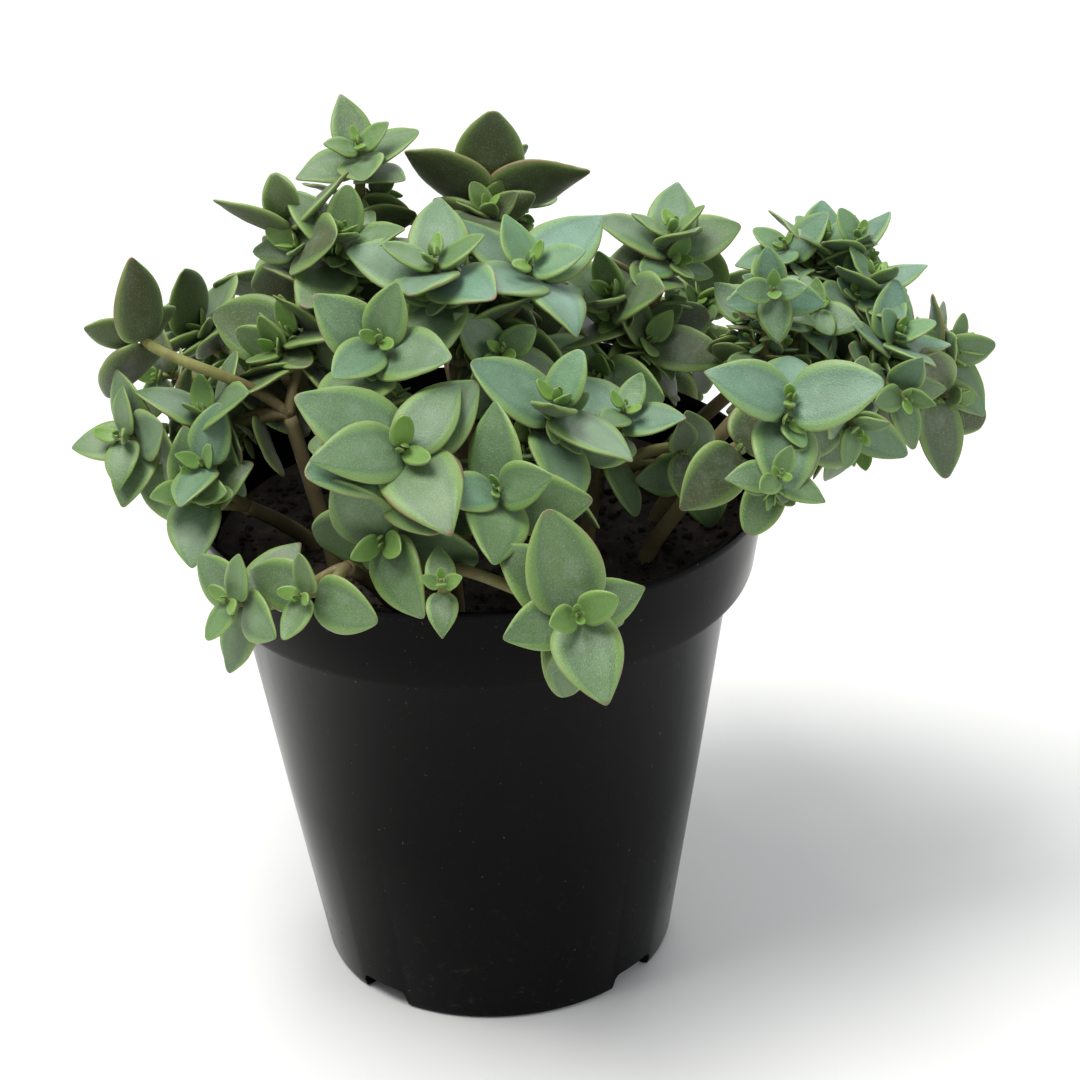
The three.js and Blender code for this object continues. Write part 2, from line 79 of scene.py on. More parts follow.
STEMS = (
    Stem("front", (-0.2, -0.42), (-0.2, -0.6, 9), (
        Shoot("front", (-0.22, -0.8, 22), (0, -4, 3), (-8, -3, -5), 16.5, 4, 1, 0.3),
        Shoot("centre_left", (-0.29, -0.49, 33), (1, -4, 8), (8, -3, -3), 13, 3, 2, 0.2),
        Shoot("front_under", (-0.3, -0.86, 9), (-1, -8, 3), (2, -4, -6), 14, 2, 1, -0.1),
    )),
    Stem("front_middle", (0.1, -0.45), (0.1, -0.6, 7), (
        Shoot("front_middle", (0.07, -0.84, 16), (0, -4, 3), (-1, -4, -9), 14, 3, 1, 0.4),
        Shoot("centre", (0.27, -0.56, 24), (1, -3, 8), (-8, 3, 1), 15, 3, 2, 0.6),
    )),
    Stem("rim_front", (-0.08, -0.68), (-0.08, -0.9, 5), (
        Shoot("rim_front", (0.31, -1.2, 4), (1, -8, 4), (-9, -1, -2), 13.5, 4, 1, 0),
        Shoot("rim_bud", (-0.11, -1.11, 8), (0, -3, 4), (0, -4, -9), 7, 3, 0, 0),
    )),
    Stem("rim_left", (-0.3, -0.55), (-0.42, -0.82, 4), (
        Shoot("rim_left", (-0.8, -0.89, 1), (-7, -6, 5), (1, -1, 9), 12, 4, 0, -0.1),
        Shoot("rim_left_front", (-0.56, -1, 4), (-6, -7, 3), (9, -3, -2), 11.5, 3, 0, -0.2),
    )),
    Stem("high_centre", (-0.05, -0.1), (-0.06, -0.14, 22), (
        Shoot("high_centre", (-0.11, -0.18, 40), (-1, -2, 8), (-8, 1, 3), 15, 4, 2, 0.5),
        Shoot("top_centre", (0.2, -0.09, 37), (0, -5, 8), (8, -4, -5), 15.5, 4, 2, 0.8),
    )),
    Stem("centre_right", (0.35, -0.25), (0.4, -0.3, 6), (
        Shoot("centre_right", (0.49, -0.4, 19), (1, -5, 8), (7, -3, -5), 11, 3, 2, 0.5),
        Shoot("right_inner", (0.75, -0.26, 6), (3, -7, 3), (3, -4, -5), 11, 2, 1, 0.1),
    )),
    Stem("right_front", (0.55, -0.3), (0.8, -0.4, 10), (
        Shoot("right_front", (1.02, -0.58, 23), (1, -4, 6), (-9, 1, 2), 14, 2, 1, 0.8),
        Shoot("right_low", (1.27, -0.31, 12), (3, -8, -2), (5, 0, -4), 10, 3, 1, 0.4),
        Shoot("right_front_low", (0.97, -0.76, 15), (1, -8, 6), (8, -2, -4), 8, 3, 1, 0.2),
    )),
    Stem("left_far", (-0.5, -0.26), (-0.62, -0.22, 16), (
        Shoot("left_far", (-1.13, -0.09, 28), (-5, 6, 1), (-1, 0, 9), 13.5, 3, 0, -1),
        Shoot("left", (-1.18, -0.28, 15), (-8, -6, 5), (3, -2, -9), 11.5, 4, 2, 0),
        Shoot("high_left", (-0.42, 0.04, 41), (1, -2, 9), (8, -4, 0), 12, 3, 2, -0.1),
    )),
    Stem("left_low", (-0.58, -0.1), (-0.78, -0.3, 3), (
        Shoot("left_low", (-0.94, -0.46, 10), (-1, -5, 6), (1, -4, -9), 11, 3, 1, 0),
        Shoot("left_purple", (-1.08, 0.06, 18), (-5, -3, 1), (0, 1, 9), 9, 2, 1, -1),
    )),
    Stem("right", (0.6, 0), (0.94, -0.06, 13), (
        Shoot("right", (1, -0.18, 33), (0, -3, 2), (9, 0, 0), 7.5, 4, 3, 0.6),
        Shoot("right_far", (1.44, 0, 22), (4, -4, 8), (9, 1, 1), 10.5, 4, 3, 0.6),
        Shoot("right_hanging", (1.44, -0.2, 15), (3, -9, 0), (0, -1, -9), 9, 3, 2, 0.3),
    )),
    Stem("right_back", (0.55, 0.3), (1.02, 0.3, 12), (
        Shoot("right_crown", (1.22, 0.4, 31), (1, -1, 9), (8, -3, 0), 11, 4, 4, 0.6),
        Shoot("right_shoulder", (1.38, 0.2, 28), (3, -2, 9), (4, -6, 0), 10, 4, 3, 0.7),
        Shoot("right_tail", (1.65, 0.22, 14), (8, -4, 3), (5, -2, -7), 13, 3, 2, 0.5),
    )),
    Stem("top_left", (-0.3, 0.3), (-0.42, 0.34, 26), (
        Shoot("top_left", (-0.38, 0.53, 47), (0, -5, 8), (-9, -2, -3), 10.5, 4, 3, -0.1),
        Shoot("top_left_side", (-0.62, 0.13, 43), (-3, 3, 9), (-9, -1, -2), 13, 3, 2, -0.4),
    )),
    Stem("top_back", (0.1, 0.4), (0.08, 0.46, 14), (
        Shoot("top_back", (0.06, 0.5, 41), (0, 8, 5), (-9, 1, 1), 16, 4, 2, -0.8),
        Shoot("back_centre", (0.14, 1, 20), (1, 5, 7), (9, 1, 1), 14, 4, 2, -0.1),
    )),
    Stem("top_right", (0.4, 0.2), (0.54, 0.24, 16), (
        Shoot("top_right", (0.69, 0.31, 35), (1, -1, 9), (-9, -2, 1), 12.5, 4, 3, 0.2),
    )),
    Stem("left_inner", (-0.42, 0.08), (-0.58, 0.04, 14), (
        Shoot("left_inner", (-0.62, -0.04, 26), (-2, -3, 8), (7, -5, 0), 15, 2, 2, -0.5),
        Shoot("left_back", (-1.04, 0.5, 20), (-6, 3, 6), (0, 5, 5), 14, 4, 2, -0.2),
    )),
    Stem("back_left", (-0.4, 0.5), (-0.56, 0.7, 8), (
        Shoot("back_left", (-0.66, 0.86, 21), (-2, 5, 7), (8, 4, 1), 14, 4, 2, 0),
        Shoot("back_left_low", (-0.96, 1, 4), (-6, 7, 4), (0, -4, 9), 15, 4, 1, 0.1),
    )),
    Stem("back_middle", (-0.05, 0.65), (-0.12, 0.86, 6), (
        Shoot("back_middle", (-0.3, 1.2, 4), (-2, 8, 4), (-9, -2, 2), 15, 4, 1, 0.2),
        Shoot("back_low", (0.24, 1.24, 0), (1, 8, 3), (3, 3, -9), 13, 4, 1, 0.3),
    )),
    Stem("back_right", (0.45, 0.55), (0.66, 0.74, 7), (
        Shoot("back_right", (0.86, 0.8, 17), (4, 5, 7), (7, -5, 1), 14, 4, 2, 0.2),
        Shoot("back_right_low", (0.8, 1.12, 1), (5, 8, 4), (-6, 4, 1), 14, 4, 1, 0.1),
    )),
)

# The pairs of a leafy tip, from the youngest out: each one's leaves as a share of the shoot's leaf length,
# and the distance along the stem to the next younger pair, in mm.
PAIR_SIZES = (0.26, 0.58, 0.95, 1.0)
PAIR_STEPS = (0.8, 1.2, 1.8, 1.2)
# Tips whose youngest pairs have grown further or less than that.
GROWTH = {
    "front": (0.34, 0.84, 1.0, 0.98),
    "front_middle": (0.17, 0.72, 1.0),
    "front_under": (0.4, 1.0),
    "rim_front": (0.15, 0.46, 1.1, 0.86),
    "rim_bud": (0.3, 0.5, 1.0),
    "rim_left": (0.3, 0.6, 0.9, 1.0),
    "right": (0.4, 0.75, 0.95, 1.0),
    "right_front": (0.2, 1.0),
    "left": (0.36, 0.7, 0.9, 1.0),
    "centre_left": (0.3, 0.72, 1.0),
}
# Small shoots that are part of a stem's piece. They start at its knee, as its other shoots do.
MORE_SHOOTS = {
    "right_back": (
        Shoot("", (1.58, 0.1, 8.5), (3, -6, 1), (0, 1, 9), 12, 1, 1, -0.6),
        Shoot("", (1.7, 0.26, 15), (6, -4, 4), (3, 6, -3), 8, 3, 3, 0.2),
        Shoot("", (1.46, 0.05, 20), (3, -6, 6), (3, 2, -3), 8, 3, 4, 0.2),
        Shoot("", (1.08, 0.34, 31), (-2, -3, 9), (6, 3, 0), 9, 3, 4, 0.6),
        Shoot("", (1.34, 0.34, 32), (2, -1, 9), (4, 5, 0), 9, 3, 4, 0.6),
    ),
    "right": (
        Shoot("", (1.3, -0.16, 7), (3, -6, 1), (7, 1, -3), 10, 2, 2, -0.1),
        Shoot("", (1.16, -0.02, 27), (1, -5, 6), (5, 2, -2), 8, 3, 3, 0.4),
        Shoot("", (0.94, 0.05, 26), (0, -5, 7), (6, -2, -3), 8, 3, 3, 0.4),
    ),
    "right_front": (Shoot("", (0.86, -0.52, 14), (2, -7, 6), (-6, -2, -6), 13, 1, 0, -0.7),),
    "centre_right": (Shoot("", (0.68, -0.4, 11.5), (0, -6, 1), (1, 0, -9), 7.5, 1, 0, -0.6),),
    "top_right": (
        Shoot("", (0.47, 0.12, 28), (-3, -5, 8), (6, -2, -2), 13, 3, 2, -0.5),
        Shoot("", (0.6, 0.1, 20), (1, -5, 4), (6, -2, -4), 12, 2, 2, -0.7),
        Shoot("", (0.42, 0.04, 16), (-1, -6, 5), (6, -2, -3), 12, 2, 2, 0.3),
    ),
    "left_far": (Shoot("", (-0.9, -0.26, 18), (-2, -3, 7), (8, -3, 1), 12, 2, 1, 0.1),),
    "left_low": (Shoot("", (-0.9, -0.42, 13), (-1, -4, 4), (0, -3, -8), 10, 2, 0, 0.4),),
    "high_centre": (Shoot("", (0.1, -0.3, 27), (1, -5, 6), (6, -3, -3), 11, 3, 2, 0.2),),
    "top_left": (Shoot("", (-0.5, 0.2, 36), (-3, -4, 7), (7, -3, 0), 11, 3, 2, 0.1),),
    "top_back": (Shoot("", (0.2, 0.5, 39), (3, -1, 8), (8, 2, -1), 9, 3, 1, -0.2),),
}
HUB_LENGTH = 1.1 * MM  # from a tip's foot to its oldest pair
OLD_OPENING = 92  # degrees between the stem and an older leaf on it
INTERNODE = 0.46  # between older pairs, as a share of the leaf
FIRST_INTERNODE = 0.4  # of an internode, from a tip's foot to the first older pair
LOWEST_PAIR = 0.12  # share of a shoot's stem, from its fork, that stays bare
MORE_BELOW = 2  # further older pairs on a shoot that has two or more, where there is room
CROWDED = ("right", "right_back")  # stems whose shoots hold leaves nearly all the way down
CROWDED_BELOW = 5
HEART_SIZE = 0.13  # the innermost pair, as a share of the shoot's leaf length
HEART_OPENING = 14
SIDE_SHARE = 0.85  # share of older leaves with a side shoot in their fork
SIDE_SIZE = (0.3, 0.62)  # its longest leaves, as shares of the shoot's leaf length
SIDE_FULL = 0.4  # from this size on it has all its pairs
SIDE_PAIRS = ((1.0, 74, 0.7), (0.75, 58, 0.4), (0.42, 30, 0.05))  # share of its leaf, opening, age
LEAF_START = 0.4 * MM  # from the middle of the stem to where a leaf begins inside it
FORK_REACH = 0.18  # share of a shoot's length that still runs on from the stem
TIP_REACH = 0.4  # share of a shoot's length that already points as its tip does
ROOT_DEPTH = 9 * MM
TRUNK_BOW = 1 * MM

# The outline of a leaf: share of the length, half width and half thickness as shares of their largest.
OUTLINE = (
    (0.0, 0.42, 0.72),
    (0.045, 0.66, 0.95),
    (0.12, 0.87, 1.0),
    (0.24, 0.985, 1.0),
    (0.38, 1.0, 0.96),
    (0.52, 0.92, 0.9),
    (0.66, 0.73, 0.82),
    (0.79, 0.47, 0.7),
    (0.90, 0.22, 0.52),
    (0.965, 0.085, 0.34),
)
SHORT_OUTLINE = OUTLINE[0::2]  # for the smallest leaves, of which there are many

# The forms that leaves grow in. half and thick are half its width and thickness, and lift is how far its
# margins stand above the midrib, all as shares of the length. curl bends the leaf down and twist turns its
# point, in degrees, and blunt rounds the sides towards the point, from 0 to 1.
Form = namedtuple("Form", "half thick lift curl twist blunt")
FORMS = {
    "bud": (
        Form(0.36, 0.14, 0.16, -34, 0, 0.5),
        Form(0.33, 0.13, 0.14, -26, 6, 0.4),
        Form(0.37, 0.13, 0.16, -18, -4, 0.55),
    ),
    "tiny": (
        Form(0.35, 0.09, 0.10, -6, 0, 0.3),
        Form(0.38, 0.085, 0.08, 14, 5, 0.4),
        Form(0.36, 0.09, 0.12, 6, -6, 0.2),
    ),
    "young": (
        Form(0.38, 0.075, 0.12, -8, 4, 0.3),
        Form(0.36, 0.07, 0.10, 6, -5, 0.2),
        Form(0.40, 0.075, 0.08, 14, 0, 0.4),
    ),
    "grown": (
        Form(0.38, 0.054, 0.07, 22, 4, 0.15),
        Form(0.36, 0.05, 0.05, 32, -6, 0.05),
        Form(0.39, 0.054, 0.09, 16, 0, 0.3),
        Form(0.35, 0.052, 0.06, 40, 7, 0.0),
        Form(0.38, 0.054, 0.08, 28, -10, 0.2),
        Form(0.34, 0.054, 0.07, 12, 5, 0.1),
    ),
    "old": (
        Form(0.39, 0.05, 0.05, 36, 6, 0.25),
        Form(0.41, 0.048, 0.03, 26, -8, 0.4),
        Form(0.37, 0.052, 0.07, 46, 4, 0.15),
        Form(0.40, 0.048, 0.06, 18, -5, 0.5),
        Form(0.36, 0.05, 0.04, 56, 9, 0.2),
    ),
}
SETTLE_ROUNDS = 90  # how many times the leaves are eased apart
SETTLE_LIMIT = math.radians(38)  # how far one leaf may turn away from where it grew
SETTLE_STEP = 0.12  # radians a leaf may turn in one round
SETTLE_NEAR = 0.62  # leaves can meet when their middles are nearer than this share of both lengths
SETTLE_ROOM = (1.08, 1.15)  # how much wider and thicker than it is a leaf counts
SETTLE_DEPTH = 0.4  # share of its length past which a leaf isn't eased out any more
SETTLE_ARM = 0.3  # shortest lever that a push has, as a share of the leaf
LIP_ZONE = 3 * MM  # how far inside the rim a leaf must clear the lip
LIP_CLEAR = 0.6 * MM
LIP_REACH = 8 * MM  # a leaf that is this far under the lip is left where it hangs
SOIL_CLEAR = 1.5 * MM

# How much one leaf differs from the next.
WANDER = 4  # degrees round the stem, and in how far a leaf opens
LEAF_ROLL = 7  # degrees about the leaf's own length
LENGTH_SPREAD = 0.07
TONE_SPREAD = 0.3
BLUSH_MEAN = 0.35
BLUSH_SPREAD = 0.35

# How a leaf grows, by its share of a full-grown leaf.
BUD_BELOW = 0.38
YOUNG_BELOW = 0.66
YOUNGEST = 0.27  # age 0 up to here
FULL_AGE_OVER = 0.6  # age 1 from this much more
CLOSED = 24  # degrees between the stem and the smallest leaves
OPENING_OVER = 64  # further degrees between the stem and full-grown leaves
HEART_SHARE = 0.26  # the share that the innermost pair counts as

# Small sizes of the pot and the soil that nobody would change.
LIP = 0.5 * MM  # how far the rolled lip stands out from the band
SLOT = (10 * MM, 9 * MM, 6 * MM)  # cutter of a drain slot: through the wall, along the foot, and upright
SLOT_ROUNDING = 1.3 * MM
SOIL_GAP = 0.45 * MM  # between the soil and the pot's wall
SOIL_RINGS = 30  # across the soil's top
CRUMB_SEED = 11
CRUMB_KINDS = 5

# The stage.
AIM = Vector((0.1998 * RIM, 0, 0.8634 * POT_TOP))  # what the camera looks at
LIGHT_AIM = Vector((0.2 * RIM, 0, 0.86 * POT_TOP))
SKY_COLOUR = (0.92, 0.96, 1.0, 1.0)
SKY_STRENGTH = 0.42
FLOOR_SIZE = 6
Light = namedtuple("Light", "name place size power colour")
LIGHTS = (
    Light("key_light", (-0.35, -0.12, 1.05), 0.6, 14.0, (1.0, 0.99, 0.96)),
    Light("fill_light", (0.8, -0.5, 0.5), 0.5, 2.0, (0.95, 0.98, 1.0)),
    Light("back_light", (0.25, 0.9, 0.8), 0.7, 5.0, (1.0, 1.0, 1.0)),
)


# ---- Sizes and colours that a user would change ----


# Each of these makes one size of a group. Lengths are in metres, and an angle's default is given in degrees.
def a_length(name, description, default):
    return FloatProperty(name=name, description=description, default=default, unit="LENGTH")


def an_angle(name, description, degrees):
    return FloatProperty(name=name, description=description, default=math.radians(degrees), subtype="ANGLE")


def a_count(name, description, default):
    return IntProperty(name=name, description=description, default=default, min=0)


def a_colour(name, description, *default):
    return FloatVectorProperty(name=name, description=description, default=default, subtype="COLOR", size=3)


class PotSizes(bpy.types.PropertyGroup):
    """Sizes of the nursery pot under its rim."""

    band_radius: a_length("Band radius", "Outside of the rim band at its lower edge", 42.5 * MM)
    band_height: a_length("Band height", "Height of the rim band", 14.5 * MM)
    neck_radius: a_length("Neck radius", "Outside of the wall just under the band", 39 * MM)
    foot_radius: a_length("Foot radius", "Outside of the wall at the bottom", 28.5 * MM)
    wall: a_length("Wall", "Thickness of the plastic", 1.2 * MM)
    floor: a_length("Floor", "Thickness of the bottom", 1.5 * MM)
    drain_count: a_count("Drain slots", "Slots round the foot", 4)
    drain_turn: an_angle("First slot", "Compass angle of the first slot", -41)
    colour: a_colour("Plastic", "Colour of the pot", 0.002, 0.0019, 0.0019)


class SoilSizes(bpy.types.PropertyGroup):
    """The potting soil."""

    crumbs: a_count("Crumbs", "Loose crumbs on the soil", 1500)
    crown: a_length("Crown", "How much higher the soil is in the middle", 1.5 * MM)
    colour: a_colour("Soil", "Colour of the damp soil", 0.011, 0.0085, 0.0065)


class PlantSizes(bpy.types.PropertyGroup):
    """The stems and leaves."""

    trunk_radius: a_length("Stem radius", "Radius of a stem below its fork", 1.3 * MM)
    shoot_radius: a_length("Shoot radius", "Radius of a shoot above the fork", 0.92 * MM)
    leaf_size: FloatProperty(
        name="Leaf size", description="Size of every leaf beside its planned size", default=1.0, min=0.1
    )
    seed: IntProperty(name="Seed", description="Changes how the leaves vary", default=7)


class PlantColours(bpy.types.PropertyGroup):
    """The plant's colours."""

    fresh: a_colour("Fresh", "Youngest leaves", 0.165, 0.315, 0.045)
    green: a_colour("Green", "Full-grown leaves", 0.115, 0.198, 0.07)
    blue: a_colour("Blue green", "Leaves with a waxy bloom", 0.135, 0.268, 0.185)
    olive: a_colour("Olive", "Shaded and older leaves", 0.06, 0.072, 0.02)
    purple: a_colour("Purple", "Stressed leaves", 0.07, 0.04, 0.035)
    margin: a_colour("Margin", "Leaf margins", 0.235, 0.33, 0.09)
    blush: a_colour("Blush", "Red of sunned margins and points", 0.21, 0.075, 0.05)
    bark: a_colour("Bark", "Older stems", 0.15, 0.12, 0.055)
    green_stem: a_colour("Green stem", "Stems near a leafy tip", 0.21, 0.215, 0.06)


class StageSizes(bpy.types.PropertyGroup):
    """The stage round the model."""

    distance: a_length("Distance", "From the camera to the point it looks at", 0.4713)
    elevation: an_angle("Elevation", "Height of the camera over the horizon", 26.59)
    roll: an_angle("Roll", "Turn of the camera about its line of sight", -2.11)
    lens: FloatProperty(name="Lens", description="Focal length in mm", default=100.0, min=1.0)
    floor: a_colour("Floor", "Colour of the floor", 0.76, 0.76, 0.75)


# ---- Finishes ----


class Number:
    """A number that comes out of a node. Python's own signs add the maths nodes."""

    def __init__(self, finish, socket):
        self.finish = finish
        self.socket = socket

    def _maths(self, operation, *values):
        return self.finish.add("ShaderNodeMath", {"operation": operation}, dict(enumerate(values)))

    def __add__(self, other):
        return self._maths("ADD", self, other)

    def __sub__(self, other):
        return self._maths("SUBTRACT", self, other)

    def __rsub__(self, other):
        return self._maths("SUBTRACT", other, self)

    def __mul__(self, other):
        return self._maths("MULTIPLY", self, other)

    __radd__ = __add__
    __rmul__ = __mul__


class Finish:
    """One material, whose nodes are added as they are asked for."""

    def __init__(self, name):
        self.material = bpy.data.materials.new(name)
        self.material.use_nodes = True
        self.tree = self.material.node_tree
        self.tree.nodes.clear()

    def add(self, kind, settings=None, sockets=None, out=0):
        """Adds a node with its settings and its sockets' values or links, and returns one output."""
        node = self.tree.nodes.new(kind)
        for name, value in (settings or {}).items():
            setattr(node, name, value)
        for key, value in (sockets or {}).items():
            if isinstance(value, Number):
                self.tree.links.new(value.socket, node.inputs[key])
            elif node.inputs[key].type == "RGBA":
                node.inputs[key].default_value = (*value, 1.0)
            else:
                node.inputs[key].default_value = value
        return Number(self, node.outputs[out]) if node.outputs else None

    def place(self):
        """The place on the piece, in metres."""
        return self.add("ShaderNodeTexCoord", out="Object")

    def attribute(self, name):
        """The three numbers of a vector attribute."""
        vector = self.add("ShaderNodeAttribute", {"attribute_name": name}, out="Vector")
        return [self.add("ShaderNodeSeparateXYZ", None, {0: vector}, out=i) for i in range(3)]

    def noise(self, scale, detail=2.0, roughness=0.5, stretch=(1.0, 1.0, 1.0)):
        """Soft noise from 0 to 1, with this many waves to a metre."""
        place = self.add("ShaderNodeMapping", None, {"Vector": self.place(), "Scale": stretch})
        values = {"Vector": place, "Scale": scale, "Detail": detail, "Roughness": roughness}
        return self.add("ShaderNodeTexNoise", None, values, out="Fac")

    def ramp(self, value, low, high, start=0.0, end=1.0):
        """Goes smoothly from start to end as value goes from low to high."""
        settings = {"interpolation_type": "SMOOTHSTEP"}
        return self.add("ShaderNodeMapRange", settings, {0: value, 1: low, 2: high, 3: start, 4: end})

    def mix(self, first, second, share, blend="MIX"):
        """A colour that goes from first to second by share."""
        settings = {"data_type": "RGBA", "blend_type": blend}
        return self.add("ShaderNodeMix", settings, {0: share, 6: first, 7: second}, out=2)

    def surface(self, values, bump=None, strength=0.2, depth=0.0001):
        """Ends the material in one shader with these values, over a bump."""
        if bump is not None:
            values = dict(values)
            relief = {"Height": bump, "Strength": strength, "Distance": depth}
            values["Normal"] = self.add("ShaderNodeBump", None, relief)
        shader = self.add("ShaderNodeBsdfPrincipled", None, values)
        self.add("ShaderNodeOutputMaterial", None, {"Surface": shader})
        return self.material


# Colours of the finishes' fine marks.
DUST = (0.03, 0.027, 0.023)
SPECKS = (0.12, 0.11, 0.10)
DRY_PEAT = (0.034, 0.024, 0.016)
FIBRES = (0.075, 0.052, 0.033)
GRIT = (0.16, 0.14, 0.11)
WAX = (0.27, 0.36, 0.29)
DEEP_GREEN = (0.04, 0.085, 0.03)
MARGIN_BAND = (0.055, 0.12, 0.05)
PALE_DOTS = (0.36, 0.44, 0.34)
PITS = (0.03, 0.055, 0.018)
BROWN_SPOTS = (0.16, 0.13, 0.06)
DARK_BARK = (0.10, 0.055, 0.03)
PALE_BARK = (0.38, 0.28, 0.17)
RING_BARK = (0.15, 0.07, 0.035)


def pot_finish(sizes):
    """Glossy black moulded plastic with faint smears, fine scratches and a little dust low down."""
    f = Finish("black_plastic")
    height = f.add("ShaderNodeSeparateXYZ", None, {0: f.place()}, out=2)
    smear = f.noise(38, 4, 0.6, (1, 1, 0.35))
    scratch = f.noise(900, 2, 0.6, (1, 1, 0.04))
    grain = f.noise(2600, 2)
    dust = f.ramp(f.noise(520, 5, 0.7), 0.56, 0.74) * f.ramp(height, 0.030, 0.0, 0.15, 1.0)
    specks = f.ramp(f.noise(1500, 1), 0.76, 0.80)
    colour = f.mix(sizes.colour, DUST, dust * 0.55)
    colour = f.mix(colour, SPECKS, specks * 0.35)
    rough = 0.13 + f.ramp(smear, 0.35, 0.75) * 0.1 + scratch * 0.06 + dust * 0.2
    values = {"Base Color": colour, "Roughness": rough, "Specular IOR Level": 0.06}
    return f.surface(values, smear + grain * 0.05, 0.12, 0.0004)


def soil_finish(sizes):
    """Dark damp peat with paler fibres and grains."""
    f = Finish("potting_soil")
    clod = f.noise(260, 5, 0.65)
    grain = f.noise(1700, 4, 0.7)
    fibre = f.ramp(f.noise(620, 3, 0.6, (1, 0.25, 1)), 0.60, 0.72)
    colour = f.mix(sizes.colour, DRY_PEAT, f.ramp(clod, 0.40, 0.70))
    colour = f.mix(colour, FIBRES, fibre * 0.5)
    colour = f.mix(colour, GRIT, f.ramp(grain, 0.70, 0.78) * 0.6)
    values = {"Base Color": colour, "Roughness": 0.82 + grain * 0.15, "Specular IOR Level": 0.25}
    return f.surface(values, clod + grain * 0.6, 0.7, 0.0008)


def leaf_finish(colours):
    """Waxy leaf flesh: green to blue green, with pale margins, red points, fine pale dots, olive below."""
    f = Finish("leaf_flesh")
    edge, along, upper = f.attribute("leaf_place")
    age, tone, blush = f.attribute("leaf_kind")
    patch = f.noise(120, 3)
    cloud = f.noise(420, 4, 0.6)
    grain = f.noise(4200, 2, 0.7)
    dots = f.ramp(grain, 0.54, 0.70)
    pits = f.ramp(grain, 0.46, 0.30)
    spots = f.ramp(f.noise(900, 1), 0.70, 0.78)
    grown = f.mix(colours.green, colours.blue, f.ramp(tone, 0.0, 1.0))
    grown = f.mix(grown, colours.olive, f.ramp(tone, 0.0, -0.9))
    grown = f.mix(grown, colours.purple, f.ramp(tone, -1.0, -1.8))
    colour = f.mix(colours.fresh, grown, f.ramp(age, 0.05, 0.8))
    bloom = f.ramp(cloud, 0.40, 0.70) * f.ramp(edge, 0.9, 0.2) * f.ramp(along, 0.9, 0.3)
    colour = f.mix(colour, WAX, bloom * age * 0.3)
    colour = f.mix(colour, DEEP_GREEN, f.ramp(patch, 0.62, 0.30) * 0.35)
    band = f.ramp(edge, 0.35, 0.62) * f.ramp(edge, 0.86, 0.66)
    colour = f.mix(colour, MARGIN_BAND, band * age * 0.3)
    colour = f.mix(colour, colours.fresh, f.ramp(edge, 0.62, 0.88) * 0.45)
    under = f.mix(colour, colours.olive, 0.5)
    colour = f.mix(under, colour, f.ramp(upper, 0.30, 0.62))
    colour = f.mix(colour, PALE_DOTS, dots * (0.08 + 0.2 * age))
    colour = f.mix(colour, PITS, pits * (0.1 + 0.22 * age))
    colour = f.mix(colour, BROWN_SPOTS, spots * age * 0.35)
    rim = f.ramp(edge, 0.84, 0.96)
    colour = f.mix(colour, colours.margin, rim * 0.8)
    red = f.ramp(f.ramp(edge, 0.86, 0.98) * f.ramp(patch, 0.40, 0.60) + f.ramp(along, 0.90, 1.0), 0.2, 1.0)
    colour = f.mix(colour, colours.blush, red * blush * 0.85)
    rough = 0.33 + cloud * 0.18 + dots * 0.12
    values = {
        "Base Color": colour,
        "Roughness": rough,
        "Specular IOR Level": 0.55,
        "Subsurface Weight": 0.1,
        "Subsurface Radius": (0.0012, 0.0020, 0.0005),
        "Subsurface Scale": 1.0,
        "Sheen Weight": 0.1,
    }
    return f.surface(values, grain + cloud * 0.7, 0.4, 0.0002)


def stem_finish(colours):
    """Tan stems that turn green towards the leafy tips, with darker rings and fine streaks."""
    f = Finish("stem_bark")
    youth, ring, _ = f.attribute("stem_kind")
    streak = f.noise(700, 3, 0.6, (1, 1, 0.3))
    mottle = f.noise(320, 3)
    colour = f.mix(colours.bark, colours.green_stem, f.ramp(youth, 0.15, 0.85))
    colour = f.mix(colour, DARK_BARK, f.ramp(mottle, 0.45, 0.75) * 0.5)
    colour = f.mix(colour, PALE_BARK, f.ramp(streak, 0.55, 0.75) * 0.4)
    colour = f.mix(colour, RING_BARK, f.ramp(ring, 0.4, 1.0) * 0.6)
    values = {"Base Color": colour, "Roughness": 0.5 + mottle * 0.2, "Specular IOR Level": 0.35}
    return f.surface(values, streak + mottle * 0.5, 0.4, 0.0003)


def plain_finish(name, colour, roughness):
    """One plain colour, for the stage."""
    return Finish(name).surface({"Base Color": colour, "Roughness": roughness})


# ---- Small helpers for modelling ----


def deselect():
    """Leaves object mode with nothing selected, so that an operator acts only on what comes next."""
    if bpy.context.object and bpy.context.object.mode != "OBJECT":
        bpy.ops.object.mode_set(mode="OBJECT")
    bpy.ops.object.select_all(action="DESELECT")


def pick(piece, test):
    """Goes to edit mode with only those corners selected whose places pass the test."""
    bpy.ops.object.mode_set(mode="EDIT")
    bpy.ops.mesh.select_mode(type="VERT")
    bpy.ops.mesh.select_all(action="DESELECT")
    bpy.ops.object.mode_set(mode="OBJECT")
    for corner in piece.data.vertices:
        corner.select = test(corner.co)
    bpy.ops.object.mode_set(mode="EDIT")
    bpy.ops.mesh.select_mode(type="VERT")


def apply_modifier(piece, kind, **settings):
    """Adds a modifier with its settings and applies it."""
    modifier = piece.modifiers.new(kind.lower(), kind)
    for name, value in settings.items():
        setattr(modifier, name, value)
    bpy.context.view_layer.objects.active = piece
    bpy.ops.object.modifier_apply(modifier=modifier.name)


def write_attribute(mesh, name, values):
    """Writes a vector for each corner of a mesh."""
    layer = mesh.attributes.get(name) or mesh.attributes.new(name, "FLOAT_VECTOR", "POINT")
    layer.data.foreach_set("vector", np.asarray(values, dtype=np.float32).ravel())


